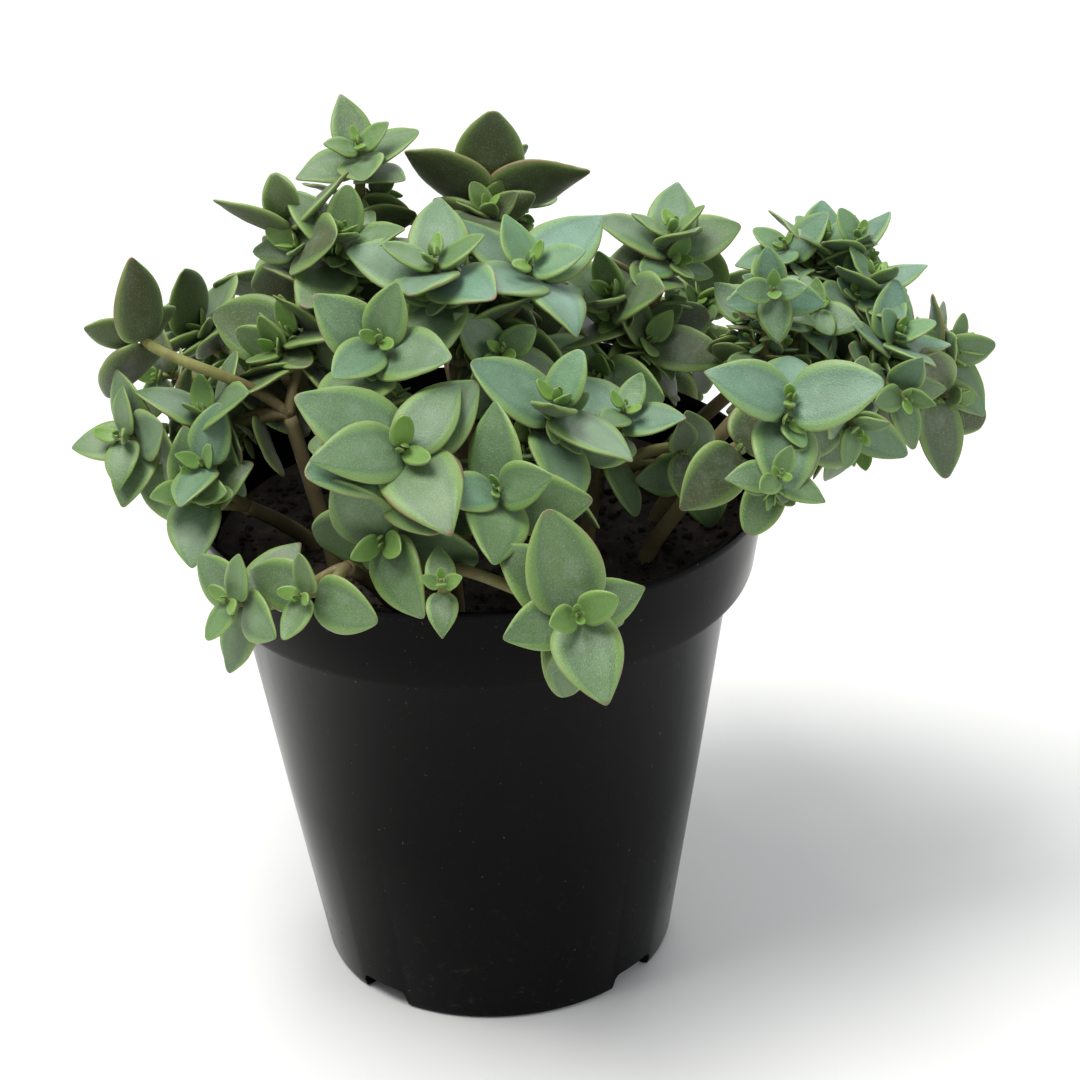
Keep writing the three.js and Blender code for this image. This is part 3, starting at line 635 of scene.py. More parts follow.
def join_pieces(name, pieces, materials):
    """Joins pieces into one that wears the materials in this order."""
    deselect()
    for piece in pieces:
        piece.select_set(True)
    bpy.context.view_layer.objects.active = pieces[0]
    if len(pieces) > 1:
        bpy.ops.object.join()
    whole = bpy.context.view_layer.objects.active
    whole.name = name
    whole.data.name = name
    assert [slot.material for slot in whole.material_slots] == list(materials), name
    return whole


def stand_for(piece, node):
    """The piece rides on the one body, and is shown for a node of the frame."""
    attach(piece, "root")
    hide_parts(node)


# ---- Curves of the stems ----


def from_rim(place):
    """A place given from the rim."""
    across, back, rise = place
    return Vector((across * RIM, back * RIM, POT_TOP + rise * MM))


def square_to(direction, axis):
    """The part of a direction that is square to an axis."""
    return (direction - axis * direction.dot(axis)).normalized()


def tip_foot(shoot):
    """The foot of a leafy tip, under the heart where its youngest leaves meet."""
    height = HUB_LENGTH + sum(PAIR_STEPS[1 : shoot.pairs]) * MM
    return from_rim(shoot.tip) - Vector(shoot.face).normalized() * height


def hermite(start, end, leave, arrive, steps):
    """Points on a smooth curve from start to end, without its first point."""
    points = []
    for i in range(1, steps + 1):
        t = i / steps
        a, b = 2 * t**3 - 3 * t**2 + 1, t**3 - 2 * t**2 + t
        points.append(start * a + leave * b + end * (1 - a) + arrive * (t**3 - t**2))
    return points


def trunk_points(stem, steps=8):
    """Points on a stem from its foot in the soil to its knee, where it forks."""
    x, y = stem.root[0] * RIM, stem.root[1] * RIM
    knee = from_rim(stem.knee)
    surface = Vector((x, y, SOIL_TOP))
    middle = surface.lerp(knee, 0.5) + Vector((0, 0, TRUNK_BOW))
    marks = [Vector((x, y, SOIL_TOP - ROOT_DEPTH)), surface, middle, knee]
    marks = [marks[0] * 2 - marks[1], *marks, marks[3] * 2 - marks[2]]
    gaps = [math.sqrt((b - a).length) for a, b in zip(marks, marks[1:])]
    points = [marks[1]]
    for i in range(1, 4):
        p, (before, here, after) = marks, gaps[i - 1 : i + 2]
        leave = (p[i] - p[i - 1]) / before - (p[i + 1] - p[i - 1]) / (before + here)
        leave += (p[i + 1] - p[i]) / here
        arrive = (p[i + 1] - p[i]) / here - (p[i + 2] - p[i]) / (here + after)
        arrive += (p[i + 2] - p[i + 1]) / after
        points += hermite(p[i], p[i + 1], leave * here, arrive * here, steps)
    return points


def shoot_points(stem, shoot, steps=28):
    """Points on a shoot from the knee to the foot of its leafy tip."""
    knee, tip = from_rim(stem.knee), tip_foot(shoot)
    reach = (tip - knee).length
    trunk = trunk_points(stem)
    upward = (trunk[-1] - trunk[-2]).normalized() + (tip - knee).normalized()
    leave = knee + upward * reach * FORK_REACH
    arrive = tip - Vector(shoot.face).normalized() * reach * TIP_REACH
    return [knee, *hermite(knee, tip, (leave - knee) * 3, (tip - arrive) * 3, steps)]


def at_share(points, share):
    """The place and the direction at a share of the way along some points."""
    lengths = [(b - a).length for a, b in zip(points, points[1:])]
    left = share * sum(lengths)
    for i, length in enumerate(lengths):
        if left <= length or i == len(lengths) - 1:
            return points[i].lerp(points[i + 1], left / length), (points[i + 1] - points[i]).normalized()
        left -= length


# ---- The plant's plan: where every leaf goes ----


class Leaf:
    """One leaf: where it leaves its stem, how it is turned, its size, its age and its colour."""

    def __init__(self, kind, base, axis, out, length, opening, age, tone, draw):
        self.kind = kind
        self.number = draw.randrange(len(FORMS[kind]))
        self.form = FORMS[kind][self.number]
        out = (Matrix.Rotation(math.radians(draw.gauss(0, WANDER)), 3, axis) @ out).normalized()
        self.base = base + out * LEAF_START
        self.length = length * (1 + draw.uniform(-LENGTH_SPREAD, LENGTH_SPREAD))
        self.age = age
        self.tone = tone + draw.uniform(-TONE_SPREAD, TONE_SPREAD)
        self.blush = max(0.0, min(1.0, draw.gauss(BLUSH_MEAN, BLUSH_SPREAD))) * age
        angle = math.radians(opening + draw.gauss(0, WANDER) - 0.3 * self.form.curl)
        along = axis * math.cos(angle) + out * math.sin(angle)
        above = axis * math.sin(angle) - out * math.cos(angle)
        roll = Matrix.Rotation(math.radians(draw.gauss(0, LEAF_ROLL)), 3, along)
        self.turn = roll @ Matrix((above.cross(along), -above, along)).transposed()

    def matrix(self):
        """Places a leaf form, which stands along +Z with its upper face towards -Y."""
        place = (self.turn * self.length).to_4x4()
        place.translation = self.base
        return place


def leaf_pair(size, base, axis, lead, length, tone, draw, opening=None):
    """Two opposite leaves. The smaller their share of a full-grown pair, the younger and steeper."""
    kind = "bud" if size < BUD_BELOW else "young" if size < YOUNG_BELOW else "grown"
    kind = "old" if opening == OLD_OPENING else kind
    age = max(0.0, min(1.0, (size - YOUNGEST) / FULL_AGE_OVER))
    opened = max(0.0, min(1.0, (size - HEART_SHARE) / (1 - HEART_SHARE))) ** 0.8
    opening = opening or CLOSED + OPENING_OVER * opened
    return [Leaf(kind, base, axis, lead * way, length, opening, age, tone, draw) for way in (1, -1)]


def crossed_pairs(shoot, axis, lead, leaf, draw):
    """The leaves of a leafy tip, and the place where they meet."""
    foot = tip_foot(shoot)
    second = lead.cross(axis)
    sizes = GROWTH.get(shoot.name, PAIR_SIZES)[: shoot.pairs] if shoot.pairs > 1 else (1.0,)
    if shoot.pairs > len(sizes) or shoot.name not in GROWTH:
        sizes = [size / max(sizes) for size in sizes]
    height = HUB_LENGTH
    leaves = []
    for k in range(shoot.pairs):
        number = shoot.pairs - 1 - k
        size = sizes[number]
        way = second if k % 2 else lead
        leaves += leaf_pair(size, foot + axis * height, axis, way, leaf * size, shoot.tone, draw)
        height += PAIR_STEPS[number] * MM
    heart = foot + axis * (height - PAIR_STEPS[0] * 0.5 * MM)
    across = second if shoot.pairs % 2 else lead
    heart_size = HEART_SIZE if sizes[0] > 0.2 else 0.5 * sizes[0]
    leaves += leaf_pair(HEART_SHARE, heart, axis, across, leaf * heart_size, shoot.tone, draw, HEART_OPENING)
    return leaves, heart


def side_shoot(base, axis, out, leaf, tone, draw):
    """A small shoot in the fork between an older leaf and its stem: its leaves and the end of its stem."""
    face = (axis * 0.9 + out * draw.uniform(0.5, 1.1)).normalized()
    lead = square_to(axis.cross(out), face)
    size = draw.uniform(*SIDE_SIZE) * leaf
    pairs = SIDE_PAIRS if size > SIDE_FULL * leaf else SIDE_PAIRS[1:]
    height = draw.uniform(0.06, 0.3) * leaf
    leaves = []
    for k, (share, opening, age) in enumerate(pairs):
        turn = lead.cross(face) if k % 2 else lead
        place = base + face * height
        for way in (1, -1):
            leaves.append(Leaf("tiny", place, face, turn * way, size * share, opening, age, tone, draw))
        height += 1.0 * MM
    return leaves, base + face * (height - 0.8 * MM)


def settle(leaves):
    """Turns leaves about their bases until they hardly pass through one another, the rim or the soil."""
    count = len(leaves)
    base = np.array([leaf.base for leaf in leaves])
    turn = np.array([leaf.turn for leaf in leaves])
    length = np.array([leaf.length for leaf in leaves])
    half = np.array([leaf.form.half for leaf in leaves])
    bend = np.radians([leaf.form.curl for leaf in leaves]) / 2
    thick = np.array([leaf.form.thick for leaf in leaves]) * length
    middles = [(0, 0.2), (0, 0.45), (0, 0.7), (0, 0.95)]
    margins = [(0.8, 0.2), (0.9, 0.4), (0.6, 0.68), (0.3, 0.85)]
    spots = np.array([*middles, *margins, *((-across, along) for across, along in margins)])
    own = np.stack(
        [
            spots[None, :, 0] * half[:, None],
            bend[:, None] * spots[None, :, 1] ** 2,
            np.broadcast_to(spots[None, :, 1], (count, len(spots))),
        ],
        axis=2,
    )
    stations = [row[0] for row in OUTLINE] + [1.0]
    widths = [row[1] for row in OUTLINE] + [0.0]
    middle = base + turn[:, :, 2] * length[:, None] * 0.5
    gap = np.linalg.norm(middle[:, None] - middle[None], axis=2)
    near = gap < SETTLE_NEAR * (length[:, None] + length[None])
    first, second = np.nonzero(near & ~np.eye(count, dtype=bool))
    grown = turn.copy()

    for _ in range(SETTLE_ROUNDS):
        places = base[:, None] + length[:, None, None] * np.einsum("nij,nkj->nki", turn, own)
        arms = places - base[:, None]
        push = np.zeros((count, 3))
        weight = np.zeros(count)

        # The first leaf's spots as its neighbour sees them: x across, y out of its face and z along.
        seen = np.einsum("nji,nkj->nki", turn[second], places[first] - base[second][:, None])
        seen /= length[second][:, None, None]
        x, y, z = seen[..., 0], seen[..., 1], seen[..., 2]
        start = np.einsum("nji,nj->ni", turn[second], base[first] - base[second]) / length[second][:, None]
        side = start[:, 1] - bend[second] * np.clip(start[:, 2], 0, 1) ** 2
        height = y - bend[second][:, None] * z**2
        side = np.where(np.abs(side) < 0.02, np.median(height, axis=1), side)
        side = np.where(side < 0, -1.0, 1.0)[:, None]
        wide = np.interp(z, stations, widths, left=0, right=0) * half[second][:, None] * SETTLE_ROOM[0]
        room = (thick[first] + thick[second])[:, None] * SETTLE_ROOM[1]
        short = room - side * height * length[second][:, None]
        hit = (np.abs(x) < wide) & (short > 0) & (short < SETTLE_DEPTH * length[first][:, None])
        pair, spot = np.nonzero(hit)
        for mover, way in ((first, 1.0), (second, -1.0)):
            which = mover[pair]
            arm = places[first[pair], spot] - base[which]
            move = turn[second[pair], :, 1] * (side[pair, 0] * short[pair, spot] * way)[:, None]
            reach = np.maximum((arm**2).sum(1), (SETTLE_ARM * length[which]) ** 2)
            np.add.at(push, which, np.cross(arm, move) / reach[:, None])
            np.add.at(weight, which, 1.0)

        # Spots that are under the soil's top or in the rim are lifted out.
        radius = np.hypot(places[..., 0], places[..., 1])
        lip = (radius > RIM - LIP_ZONE) & (radius < RIM + LIP_CLEAR) & (places[..., 2] > POT_TOP - LIP_REACH)
        floor = np.where(lip, POT_TOP + LIP_CLEAR, SOIL_TOP + SOIL_CLEAR)
        low = np.where(lip | (radius < RIM - LIP_ZONE), floor - places[..., 2], 0)
        which, spot = np.nonzero(low > 0)
        arm = arms[which, spot]
        lift = np.zeros((len(which), 3))
        lift[:, 2] = low[which, spot]
        reach = np.maximum((arm**2).sum(1), (SETTLE_ARM * length[which]) ** 2)
        np.add.at(push, which, np.cross(arm, lift) / reach[:, None])
        np.add.at(weight, which, 1.0)

        push *= (0.5 / np.maximum(weight, 2.0))[:, None]
        for i in np.nonzero(weight)[0]:
            angle = float(np.linalg.norm(push[i]))
            if angle < 1e-5:
                continue
            step = Matrix.Rotation(min(angle, SETTLE_STEP), 3, Vector(push[i]))
            new = step @ Matrix(turn[i])
            if (new @ Matrix(grown[i]).transposed()).to_quaternion().angle < SETTLE_LIMIT:
                turn[i] = new
    for leaf, new in zip(leaves, turn):
        leaf.turn = Matrix(new)


Plan = namedtuple("Plan", "tips stems hearts nodes twigs")


def plan_plant(sizes):
    """Where every leaf goes. tips and stems map a name to its leaves, hearts to where a tip's leaves meet,
    nodes to the shares of a shoot where older leaves grow, twigs to the ends of a stem's side shoots."""
    plan = Plan({}, {}, {}, {}, {})
    for number, stem in enumerate(STEMS):
        plan.stems[stem.name], plan.twigs[stem.name] = [], []
        for place, shoot in enumerate((*stem.shoots, *MORE_SHOOTS.get(stem.name, ()))):
            draw = random.Random(sizes.seed * 1000 + number * 10 + place)
            leaf = shoot.leaf * MM * sizes.leaf_size
            axis = Vector(shoot.face).normalized()
            lead = square_to(Vector(shoot.lead).normalized(), axis)
            leaves, heart = crossed_pairs(shoot, axis, lead, leaf, draw)
            if shoot.name:
                plan.tips[shoot.name], plan.hearts[shoot.name] = leaves, heart
            else:
                plan.stems[stem.name] += leaves
                plan.twigs[stem.name].append((tip_foot(shoot), heart))
            points = shoot_points(stem, shoot)
            total = sum((b - a).length for a, b in zip(points, points[1:]))
            more = MORE_BELOW if shoot.below > 1 else 0
            below = shoot.below + (CROWDED_BELOW if stem.name in CROWDED else more)
            shares = [1 - (i + FIRST_INTERNODE) * INTERNODE * leaf / total for i in range(below)]
            shares = [share for share in shares if share > LOWEST_PAIR]
            plan.nodes[shoot] = shares
            for i, share in enumerate(shares):
                base, along = at_share(points, share)
                way = square_to(lead if i % 2 else lead.cross(axis), along)
                # Older pairs lower on a stem get a lower tone, more olive: this is partly their real age and
                # partly painted shade, darkening the leaves deep inside the plant.
                tone = shoot.tone - 0.2 - 0.2 * i
                length = leaf * (1 - 0.05 * i)
                plan.stems[stem.name] += leaf_pair(1.0, base, along, way, length, tone, draw, OLD_OPENING)
                for side in (way, -way):
                    if draw.random() < SIDE_SHARE:
                        leaves, end = side_shoot(base, along, side, leaf, shoot.tone, draw)
                        plan.stems[stem.name] += leaves
                        plan.twigs[stem.name].append((base, end))
    settle([leaf for group in (plan.tips, plan.stems) for leaves in group.values() for leaf in leaves])
    return plan


# ---- Modelling ----


def model_leaf_form(kind, form, number):
    """One leaf form, closed all round, along +Z from 0 to 1 with its upper face towards -Y."""
    outline = [
        (share, broad ** (1 - form.blunt) if share > 0.4 else broad, deep)
        for share, broad, deep in (SHORT_OUTLINE if kind in ("bud", "tiny") else OUTLINE)
    ]
    deselect()
    bpy.ops.mesh.primitive_circle_add(vertices=8, radius=1, fill_type="NGON")
    leaf = bpy.context.object
    pick(leaf, lambda co: abs(abs(co.x) - abs(co.y)) < 0.1)
    bpy.ops.transform.resize(value=(1.2, 1.14, 1))
    bpy.ops.mesh.select_all(action="SELECT")
    reached, broad, deep = outline[0]
    half, thick = broad * form.half, deep * form.thick
    bpy.ops.transform.resize(value=(half, thick, 1), center_override=(0, 0, 0))
    for share, broad, deep in outline[1:]:
        bpy.ops.mesh.extrude_region_move(TRANSFORM_OT_translate={"value": (0, 0, share - reached)})
        scale = (broad * form.half / half, deep * form.thick / thick, 1)
        bpy.ops.transform.resize(value=scale, center_override=(0, 0, share))
        half, thick, reached = broad * form.half, deep * form.thick, share
    bpy.ops.mesh.extrude_region_move(TRANSFORM_OT_translate={"value": (0, 0, 1 - reached)})
    bpy.ops.mesh.merge(type="CENTER")
    bpy.ops.mesh.select_all(action="SELECT")
    bpy.ops.mesh.normals_make_consistent(inside=False)
    bpy.ops.object.mode_set(mode="OBJECT")

    halves = {round(share, 3): broad * form.half for share, broad, _ in outline}
    marks = []
    for corner in leaf.data.vertices:
        x, y, z = corner.co
        edge = abs(x) / halves[round(z, 3)] if round(z, 3) in halves else 1.0
        marks.append((edge, z, 1.0 if y < -0.001 else 0.0 if y > 0.001 else 0.5))
    write_attribute(leaf.data, "leaf_place", marks)

    for share, half in halves.items():
        pick(leaf, lambda co: abs(co.z - share) < 0.001 and abs(co.x) < 0.01 * form.half)
        bpy.ops.transform.translate(value=(0, form.lift * half / form.half, 0))
    bpy.ops.object.mode_set(mode="OBJECT")

    apply_modifier(leaf, "SUBSURF", levels=1, render_levels=1)
    name = f"{kind}_leaf_{number}"
    unevenness = bpy.data.textures.new(name, "CLOUDS")
    unevenness.noise_scale = 0.30 + 0.05 * number
    apply_modifier(leaf, "DISPLACE", texture=unevenness, strength=0.05, mid_level=0.5, direction="Y")
    for method, axis, degrees in (("TWIST", "Z", form.twist), ("BEND", "X", form.curl)):
        settings = {"deform_method": method, "deform_axis": axis, "angle": math.radians(degrees)}
        apply_modifier(leaf, "SIMPLE_DEFORM", **settings)
    bpy.ops.object.shade_smooth()
    leaf.name = name
    return leaf


def grow_leaf(leaf, forms, material):
    """A copy of a leaf's form in its place."""
    piece = forms[leaf.kind][leaf.number].copy()
    piece.data = piece.data.copy()
    piece.data.transform(leaf.matrix())
    count = len(piece.data.vertices)
    write_attribute(piece.data, "leaf_kind", [(leaf.age, leaf.tone, leaf.blush)] * count)
    piece.data.materials.clear()
    piece.data.materials.append(material)
    bpy.context.collection.objects.link(piece)
    return piece


def model_tube(name, points, radii, youth, rings, material):
    """A round closed tube through points. youth and rings say how green and ringed it is at each point."""
    deselect()
    curve = bpy.data.curves.new(name, "CURVE")
    curve.dimensions = "3D"
    curve.bevel_depth = 1.0
    curve.bevel_resolution = 2
    curve.use_fill_caps = True
    spline = curve.splines.new("POLY")
    spline.points.add(len(points) - 1)
    for mark, point, radius in zip(spline.points, points, radii):
        mark.co = (*point, 1.0)
        mark.radius = radius
    tube = bpy.data.objects.new(name, curve)
    bpy.context.collection.objects.link(tube)
    bpy.context.view_layer.objects.active = tube
    tube.select_set(True)
    bpy.ops.object.convert(target="MESH")
    tube = bpy.context.object
    bpy.ops.object.mode_set(mode="EDIT")
    bpy.ops.mesh.select_all(action="SELECT")
    bpy.ops.mesh.remove_doubles(threshold=0.00001)
    bpy.ops.mesh.normals_make_consistent(inside=False)
    bpy.ops.object.mode_set(mode="OBJECT")
    bpy.ops.object.shade_smooth()
    line = np.array([tuple(p) for p in points])
    places = np.array([tuple(v.co) for v in tube.data.vertices])
    nearest = np.argmin(((places[:, None] - line[None]) ** 2).sum(2), axis=1)
    write_attribute(tube.data, "stem_kind", [(youth[i], rings[i], 0.0) for i in nearest])
    tube.data.materials.clear()
    tube.data.materials.append(material)
    return tube


def node_rings(count, shares):
    """How near each of count points along a shoot is to a place where leaves grow, from 0 to 1."""
    near = [[math.exp(-((i / (count - 1) - share) * 26) ** 2) for share in shares] for i in range(count)]
    return [max(values, default=0.0) for values in near]


# ---- Operators ----


class SUCCULENT_OT_pot(bpy.types.Operator):
    """Models the nursery pot: wall, rim band, rolled lip and drain slots"""

    bl_idname = "succulent.pot"
    bl_label = "Nursery Pot"

    def execute(self, context):
        sizes = context.scene.pot_sizes
        neck = POT_TOP - sizes.band_height
        wall = sizes.wall
        rings = [
            # The foot's rounded edge, and up the wall to the neck.
            (sizes.foot_radius - 1.4 * MM, 0.0),
            (sizes.foot_radius - 0.4 * MM, 0.35 * MM),
            (sizes.foot_radius, 1.4 * MM),
            (sizes.foot_radius + (sizes.neck_radius - sizes.foot_radius) * 0.5, neck * 0.5),
            (sizes.neck_radius - 0.1 * MM, neck - 0.8 * MM),
            (sizes.neck_radius + 0.3 * MM, neck - 0.1 * MM),
            # Out under the band, and up it to the lip.
            (sizes.band_radius - 1.3 * MM, neck),
            (sizes.band_radius - 0.35 * MM, neck + 0.35 * MM),
            (sizes.band_radius, neck + 1.3 * MM),
            (sizes.band_radius + (RIM - LIP - sizes.band_radius) * 0.5, neck + sizes.band_height * 0.5),
            (RIM - LIP, POT_TOP - 1.7 * MM),
            # Over the rolled lip.
            (RIM - 0.12 * MM, POT_TOP - 1.35 * MM),
            (RIM, POT_TOP - 0.8 * MM),
            (RIM - 0.2 * MM, POT_TOP - 0.2 * MM),
            (RIM - 0.6 * MM, POT_TOP),
            (RIM - 1.0 * MM, POT_TOP - 0.2 * MM),
            (RIM - 1.2 * MM, POT_TOP - 0.8 * MM),
            # Down the inside to the floor.
            (RIM - wall - LIP, POT_TOP - 2 * MM),
            (sizes.band_radius - wall, neck + wall),
            (sizes.neck_radius - wall, neck),
            (sizes.foot_radius - wall, sizes.floor),
        ]
        deselect()
        radius, height = rings[0]
        bpy.ops.mesh.primitive_circle_add(vertices=144, radius=radius, fill_type="NGON")
        pot = context.object
        bpy.ops.object.mode_set(mode="EDIT")
        bpy.ops.mesh.select_all(action="SELECT")
        for wide, high in rings[1:]:
            bpy.ops.mesh.extrude_region_move(TRANSFORM_OT_translate={"value": (0, 0, high - height)})
            wider = wide / radius
            bpy.ops.transform.resize(value=(wider, wider, 1), center_override=(0, 0, high))
            radius, height = wide, high
        bpy.ops.mesh.select_all(action="SELECT")
        bpy.ops.mesh.normals_make_consistent(inside=False)
        bpy.ops.object.mode_set(mode="OBJECT")
        self.cut_drains(pot, sizes)
        deselect()
        pot.select_set(True)
        context.view_layer.objects.active = pot
        bpy.ops.object.shade_smooth_by_angle(angle=math.radians(32))
        pot.name = pot.data.name = "nursery_pot"
        pot.data.materials.clear()
        pot.data.materials.append(pot_finish(sizes))
        stand_for(pot, "pot")
        return {"FINISHED"}

    def cut_drains(self, pot, sizes):
        """Cuts the rounded drain slots through the foot."""
        for i in range(sizes.drain_count):
            deselect()
            turn = sizes.drain_turn + 2 * math.pi * i / sizes.drain_count
            place = (sizes.foot_radius * math.cos(turn), sizes.foot_radius * math.sin(turn), 0)
            bpy.ops.mesh.primitive_cube_add(size=1, location=place, rotation=(0, 0, turn))
            slot = bpy.context.object
            slot.scale = SLOT
            bpy.ops.object.transform_apply(location=True, rotation=True, scale=True)
            apply_modifier(slot, "BEVEL", width=SLOT_ROUNDING, segments=3)
            apply_modifier(pot, "BOOLEAN", object=slot, operation="DIFFERENCE", solver="EXACT")
            bpy.data.objects.remove(slot)


class SUCCULENT_OT_soil(bpy.types.Operator):
    """Models the soil: an uneven crowned plug with loose crumbs on it"""

    bl_idname = "succulent.soil"
    bl_label = "Potting Soil"

    def execute(self, context):
        sizes = context.scene.soil_sizes
        low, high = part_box("soil")
        radius = high.x
        bottom = min(self.radius_at(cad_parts["soil"], low.z), radius)
        material = soil_finish(sizes)
        deselect()
        foot = (0, 0, low.z)
        bpy.ops.mesh.primitive_circle_add(vertices=96, radius=bottom, fill_type="NGON", location=foot)
        bpy.ops.object.transform_apply(location=True, rotation=False, scale=False)
        soil = context.object
        bpy.ops.object.mode_set(mode="EDIT")
        bpy.ops.mesh.select_all(action="SELECT")
        pot = context.scene.pot_sizes
        neck = POT_TOP - pot.band_height
        reached, height = bottom, low.z
        for wide, tall in (
            (pot.neck_radius - pot.wall - SOIL_GAP, neck),
            (pot.band_radius - pot.wall - SOIL_GAP, neck + pot.wall + 0.3 * MM),
            (radius - 0.1 * MM, SOIL_TOP - 0.4 * MM),
        ):
            bpy.ops.mesh.extrude_region_move(TRANSFORM_OT_translate={"value": (0, 0, tall - height)})
            wider = wide / reached
            bpy.ops.transform.resize(value=(wider, wider, 1), center_override=(0, 0, tall))
            reached, height = wide, tall
        for _ in range(SOIL_RINGS):
            bpy.ops.mesh.inset(thickness=reached / (SOIL_RINGS + 1), depth=0)
        bpy.ops.object.mode_set(mode="OBJECT")
        top = SOIL_TOP - 0.5 * MM
        soil.vertex_groups.new(name="top")
        for corner in soil.data.vertices:
            share = math.hypot(corner.co.x, corner.co.y) / radius
            if corner.co.z > top:
                corner.co.z += sizes.crown * max(0.0, min(1.0, 2 - 2 * share))
                soil.vertex_groups["top"].add([corner.index], min(1.0, (1.0 - share) * 12), "REPLACE")
        for scale, strength in ((7 * MM, 1.5 * MM), (2.2 * MM, 1.1 * MM)):
            clods = bpy.data.textures.new("clods", "CLOUDS")
            clods.noise_scale = scale
            settings = {"texture": clods, "strength": strength, "mid_level": 0.55, "direction": "Z"}
            apply_modifier(soil, "DISPLACE", vertex_group="top", **settings)
        bpy.ops.object.shade_smooth_by_angle(angle=math.radians(50))
        soil.data.materials.clear()
        soil.data.materials.append(material)
        crumbs = self.crumbs(soil, sizes, radius, material)
        soil = join_pieces("potting_soil", [soil, *crumbs], [material])
        stand_for(soil, "soil")
        return {"FINISHED"}

    def radius_at(self, node, height):
        """The radius of a node's mesh at a height."""
        near = [math.hypot(v.co.x, v.co.y) for v in node.data.vertices if abs(v.co.z - height) < 0.1 * MM]
        return max(near)

    def crumbs(self, soil, sizes, radius, material):
        """Loose crumbs scattered over the soil, from a few that are modelled once."""
        draw = random.Random(CRUMB_SEED)
        corners = [corner.co for corner in soil.data.vertices]
        surface = BVHTree.FromPolygons(corners, [face.vertices for face in soil.data.polygons])
        kinds = []
        for i in range(CRUMB_KINDS):
            deselect()
            bpy.ops.mesh.primitive_ico_sphere_add(subdivisions=2, radius=1)
            crumb = bpy.context.object
            lumps = bpy.data.textures.new("crumb", "VORONOI")
            lumps.noise_scale = 0.7 + 0.2 * i
            apply_modifier(crumb, "DISPLACE", texture=lumps, strength=0.7, mid_level=0.5)
            crumb.scale = (1, 0.55 + 0.1 * i, 0.5 + 0.08 * i)
            bpy.ops.object.transform_apply(location=False, rotation=False, scale=True)
            bpy.ops.object.shade_flat()
            kinds.append(crumb)
        made = []
        for _ in range(sizes.crumbs):
            away, turn = radius * 0.965 * math.sqrt(draw.random()), draw.uniform(0, 2 * math.pi)
            x, y = away * math.cos(turn), away * math.sin(turn)
            point = surface.ray_cast(Vector((x, y, POT_TOP)), Vector((0, 0, -1)))[0]
            size = MM * (0.25 + 0.75 * draw.random() ** 2.5)
            if point is None:
                continue
            spin = Matrix.Rotation(draw.uniform(0, 6.28), 3, "Z")
            spin = spin @ Matrix.Rotation(draw.uniform(-0.6, 0.6), 3, "X")
            place = (spin * size).to_4x4()
            place.translation = point + Vector((0, 0, size * 0.15))
            copy = kinds[draw.randrange(len(kinds))].copy()
            copy.data = copy.data.copy()
            copy.data.transform(place)
            copy.data.materials.append(material)
            bpy.context.collection.objects.link(copy)
            made.append(copy)
        for crumb in kinds:
            bpy.data.objects.remove(crumb)
        return made


class SUCCULENT_OT_plant(bpy.types.Operator):
    """Models every stem with its older leaves, and every leafy tip"""

    bl_idname = "succulent.plant"
    bl_label = "Stems and Leaves"

    def execute(self, context):
        sizes, colours = context.scene.plant_sizes, context.scene.plant_colours
        flesh, bark = leaf_finish(colours), stem_finish(colours)
        forms = {}
        for kind, kinds in FORMS.items():
            forms[kind] = [model_leaf_form(kind, form, i) for i, form in enumerate(kinds)]
        plan = plan_plant(sizes)
        for stem in STEMS:
            self.model_stem(stem, plan, sizes, forms, flesh, bark)
            for shoot in stem.shoots:
                self.model_tip(shoot, plan, sizes, forms, flesh, bark)
        for made in forms.values():
            for leaf in made:
                bpy.data.objects.remove(leaf)
        return {"FINISHED"}

    def model_stem(self, stem, plan, sizes, forms, flesh, bark):
        """One stem: its trunk, its shoots, and the older leaves on them."""
        trunk = trunk_points(stem)
        count = len(trunk)
        radii = [sizes.trunk_radius * (1.05 - 0.2 * i / count) for i in range(count)]
        parts = [model_tube("trunk", trunk, radii, [0.0] * count, [0.0] * count, bark)]
        for shoot in (*stem.shoots, *MORE_SHOOTS.get(stem.name, ())):
            points = shoot_points(stem, shoot)
            count = len(points)
            rings = node_rings(count, plan.nodes[shoot])
            taper = [1.0 - 0.12 * i / count + 0.22 * ring for i, ring in enumerate(rings)]
            youth = [0.2 + 0.8 * i / (count - 1) for i in range(count)]
            radii = [sizes.shoot_radius * t for t in taper]
            parts.append(model_tube("shoot", points, radii, youth, rings, bark))
        for start, end in plan.twigs[stem.name]:
            points = [start.lerp(end, i / 3) for i in range(4)]
            radii = [sizes.shoot_radius * (0.5 - 0.07 * i) for i in range(4)]
            parts.append(model_tube("twig", points, radii, [1.0] * 4, [0.0] * 4, bark))
        parts += [grow_leaf(leaf, forms, flesh) for leaf in plan.stems[stem.name]]
        worn = [bark, flesh] if plan.stems[stem.name] else [bark]
        branch = join_pieces("stem." + stem.name, parts, worn)
        stand_for(branch, "stem_" + stem.name)

    def model_tip(self, shoot, plan, sizes, forms, flesh, bark):
        """One leafy tip: its crossed leaf pairs round a short end of stem."""
        foot, heart = tip_foot(shoot), plan.hearts[shoot.name]
        points = [foot.lerp(heart, i / 5) for i in range(6)]
        radii = [sizes.shoot_radius * (0.88 - 0.13 * i) for i in range(6)]
        hub = model_tube("hub", points, radii, [1.0] * 6, [0.0] * 6, bark)
        leaves = [grow_leaf(leaf, forms, flesh) for leaf in plan.tips[shoot.name]]
        tip = join_pieces("tip." + shoot.name, [hub, *leaves], [bark, flesh])
        stand_for(tip, "rosette_" + shoot.name)


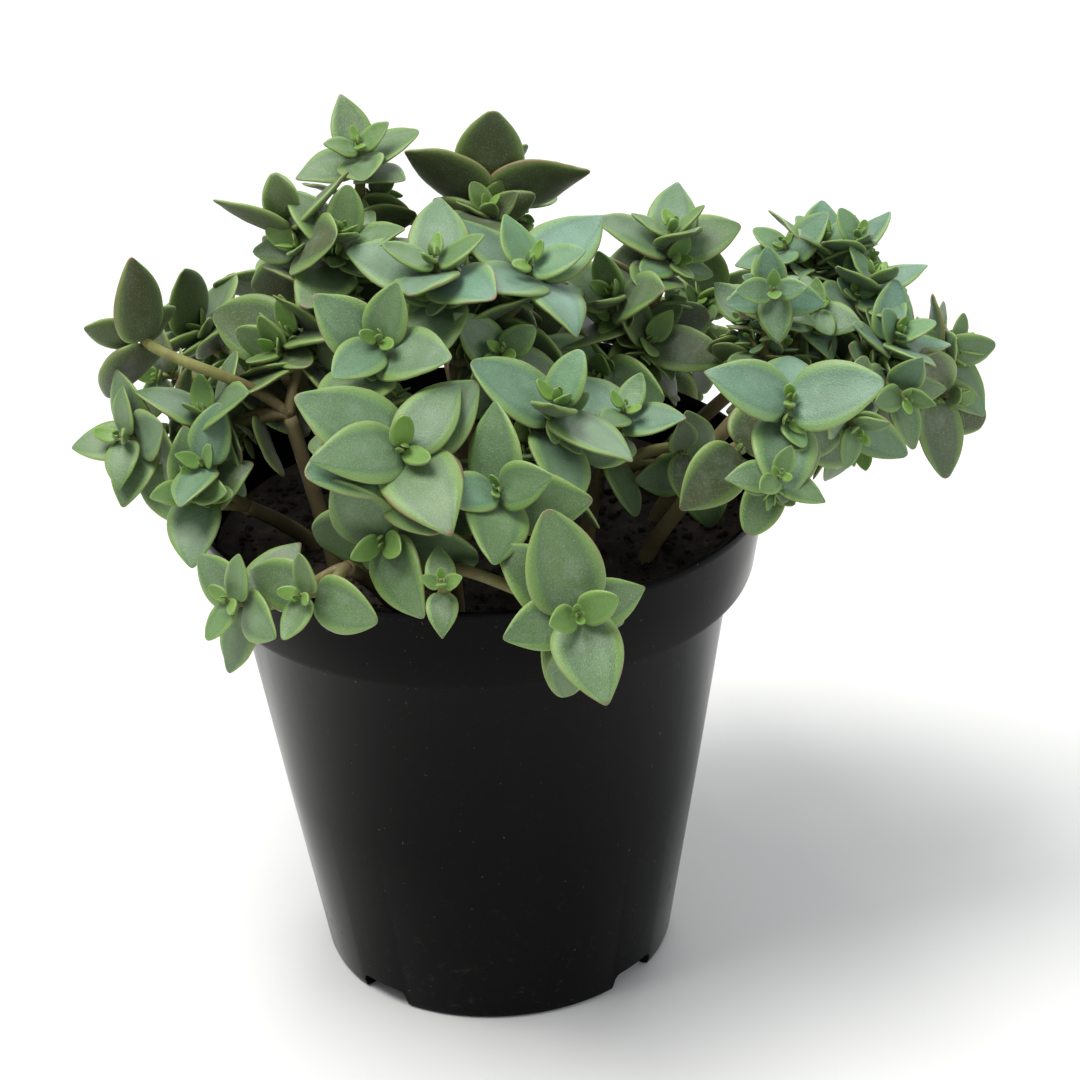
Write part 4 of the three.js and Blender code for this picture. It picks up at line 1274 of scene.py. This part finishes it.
class SUCCULENT_OT_stage(bpy.types.Operator):
    """Sets up the pale floor, the soft lights and the camera"""

    bl_idname = "succulent.stage"
    bl_label = "Stage"

    def execute(self, context):
        sizes = context.scene.stage_sizes
        deselect()
        bpy.ops.mesh.primitive_plane_add(size=FLOOR_SIZE)
        floor = context.object
        floor.name = "floor"
        floor.data.materials.append(plain_finish("floor_paper", sizes.floor, 0.9))
        world = bpy.data.worlds.new("studio")
        context.scene.world = world
        world.use_nodes = True
        background = world.node_tree.nodes["Background"]
        background.inputs["Color"].default_value = SKY_COLOUR
        background.inputs["Strength"].default_value = SKY_STRENGTH
        for light in LIGHTS:
            self.hang(light)
        self.camera(context, sizes)
        context.scene.view_settings.view_transform = "Standard"
        return {"FINISHED"}

    def hang(self, light):
        """A square soft light that looks at the plant."""
        deselect()
        bpy.ops.object.light_add(type="AREA", location=light.place)
        lamp = bpy.context.object
        lamp.name = light.name
        lamp.rotation_euler = (LIGHT_AIM - Vector(light.place)).to_track_quat("-Z", "Y").to_euler()
        lamp.data.size = light.size
        lamp.data.energy = light.power
        lamp.data.color = light.colour

    def camera(self, context, sizes):
        """The camera, looking along +Y and down."""
        back = Vector((0, -math.cos(sizes.elevation), math.sin(sizes.elevation)))
        bpy.ops.object.camera_add(location=AIM + back * sizes.distance)
        camera = context.object
        level = (-back).to_track_quat("-Z", "Y").to_matrix()
        turn = Matrix.Rotation(sizes.roll, 3, back) @ level
        camera.rotation_euler = turn.to_euler()
        camera.data.lens = sizes.lens
        camera.data.sensor_width = 36
        camera.data.clip_start = 0.01
        context.scene.camera = camera


class SUCCULENT_PT_panel(bpy.types.Panel):
    """Lists the pieces of the potted succulent"""

    bl_label = "Potted Succulent"
    bl_space_type = "VIEW_3D"
    bl_region_type = "UI"
    bl_category = "Succulent"

    def draw(self, context):
        for name, group, operator in GROUPS:
            box = self.layout.box()
            for size in group.__annotations__:
                box.prop(getattr(context.scene, name), size)
            if operator:
                box.operator(operator)


# Each group of sizes: its name on the scene, its class, and the operator that it stands over in the panel.
GROUPS = (
    ("pot_sizes", PotSizes, "succulent.pot"),
    ("soil_sizes", SoilSizes, "succulent.soil"),
    ("plant_colours", PlantColours, None),
    ("plant_sizes", PlantSizes, "succulent.plant"),
    ("stage_sizes", StageSizes, "succulent.stage"),
)
CLASSES = (
    *(group for _, group, _ in GROUPS),
    SUCCULENT_OT_pot,
    SUCCULENT_OT_soil,
    SUCCULENT_OT_plant,
    SUCCULENT_OT_stage,
    SUCCULENT_PT_panel,
)


def register():
    """Registers the classes and hangs the sizes on the scene."""
    for cls in CLASSES:
        bpy.utils.register_class(cls)
    for name, group, _ in GROUPS:
        setattr(bpy.types.Scene, name, PointerProperty(type=group))


def unregister():
    """Takes the sizes off the scene again and unregisters the classes."""
    for name, _, _ in GROUPS:
        delattr(bpy.types.Scene, name)
    for cls in reversed(CLASSES):
        bpy.utils.unregister_class(cls)


def main():
    """Models every piece."""
    register()
    bpy.ops.succulent.stage()
    bpy.ops.succulent.pot()
    bpy.ops.succulent.soil()
    bpy.ops.succulent.plant()


if __name__ == "__main__":
    main()
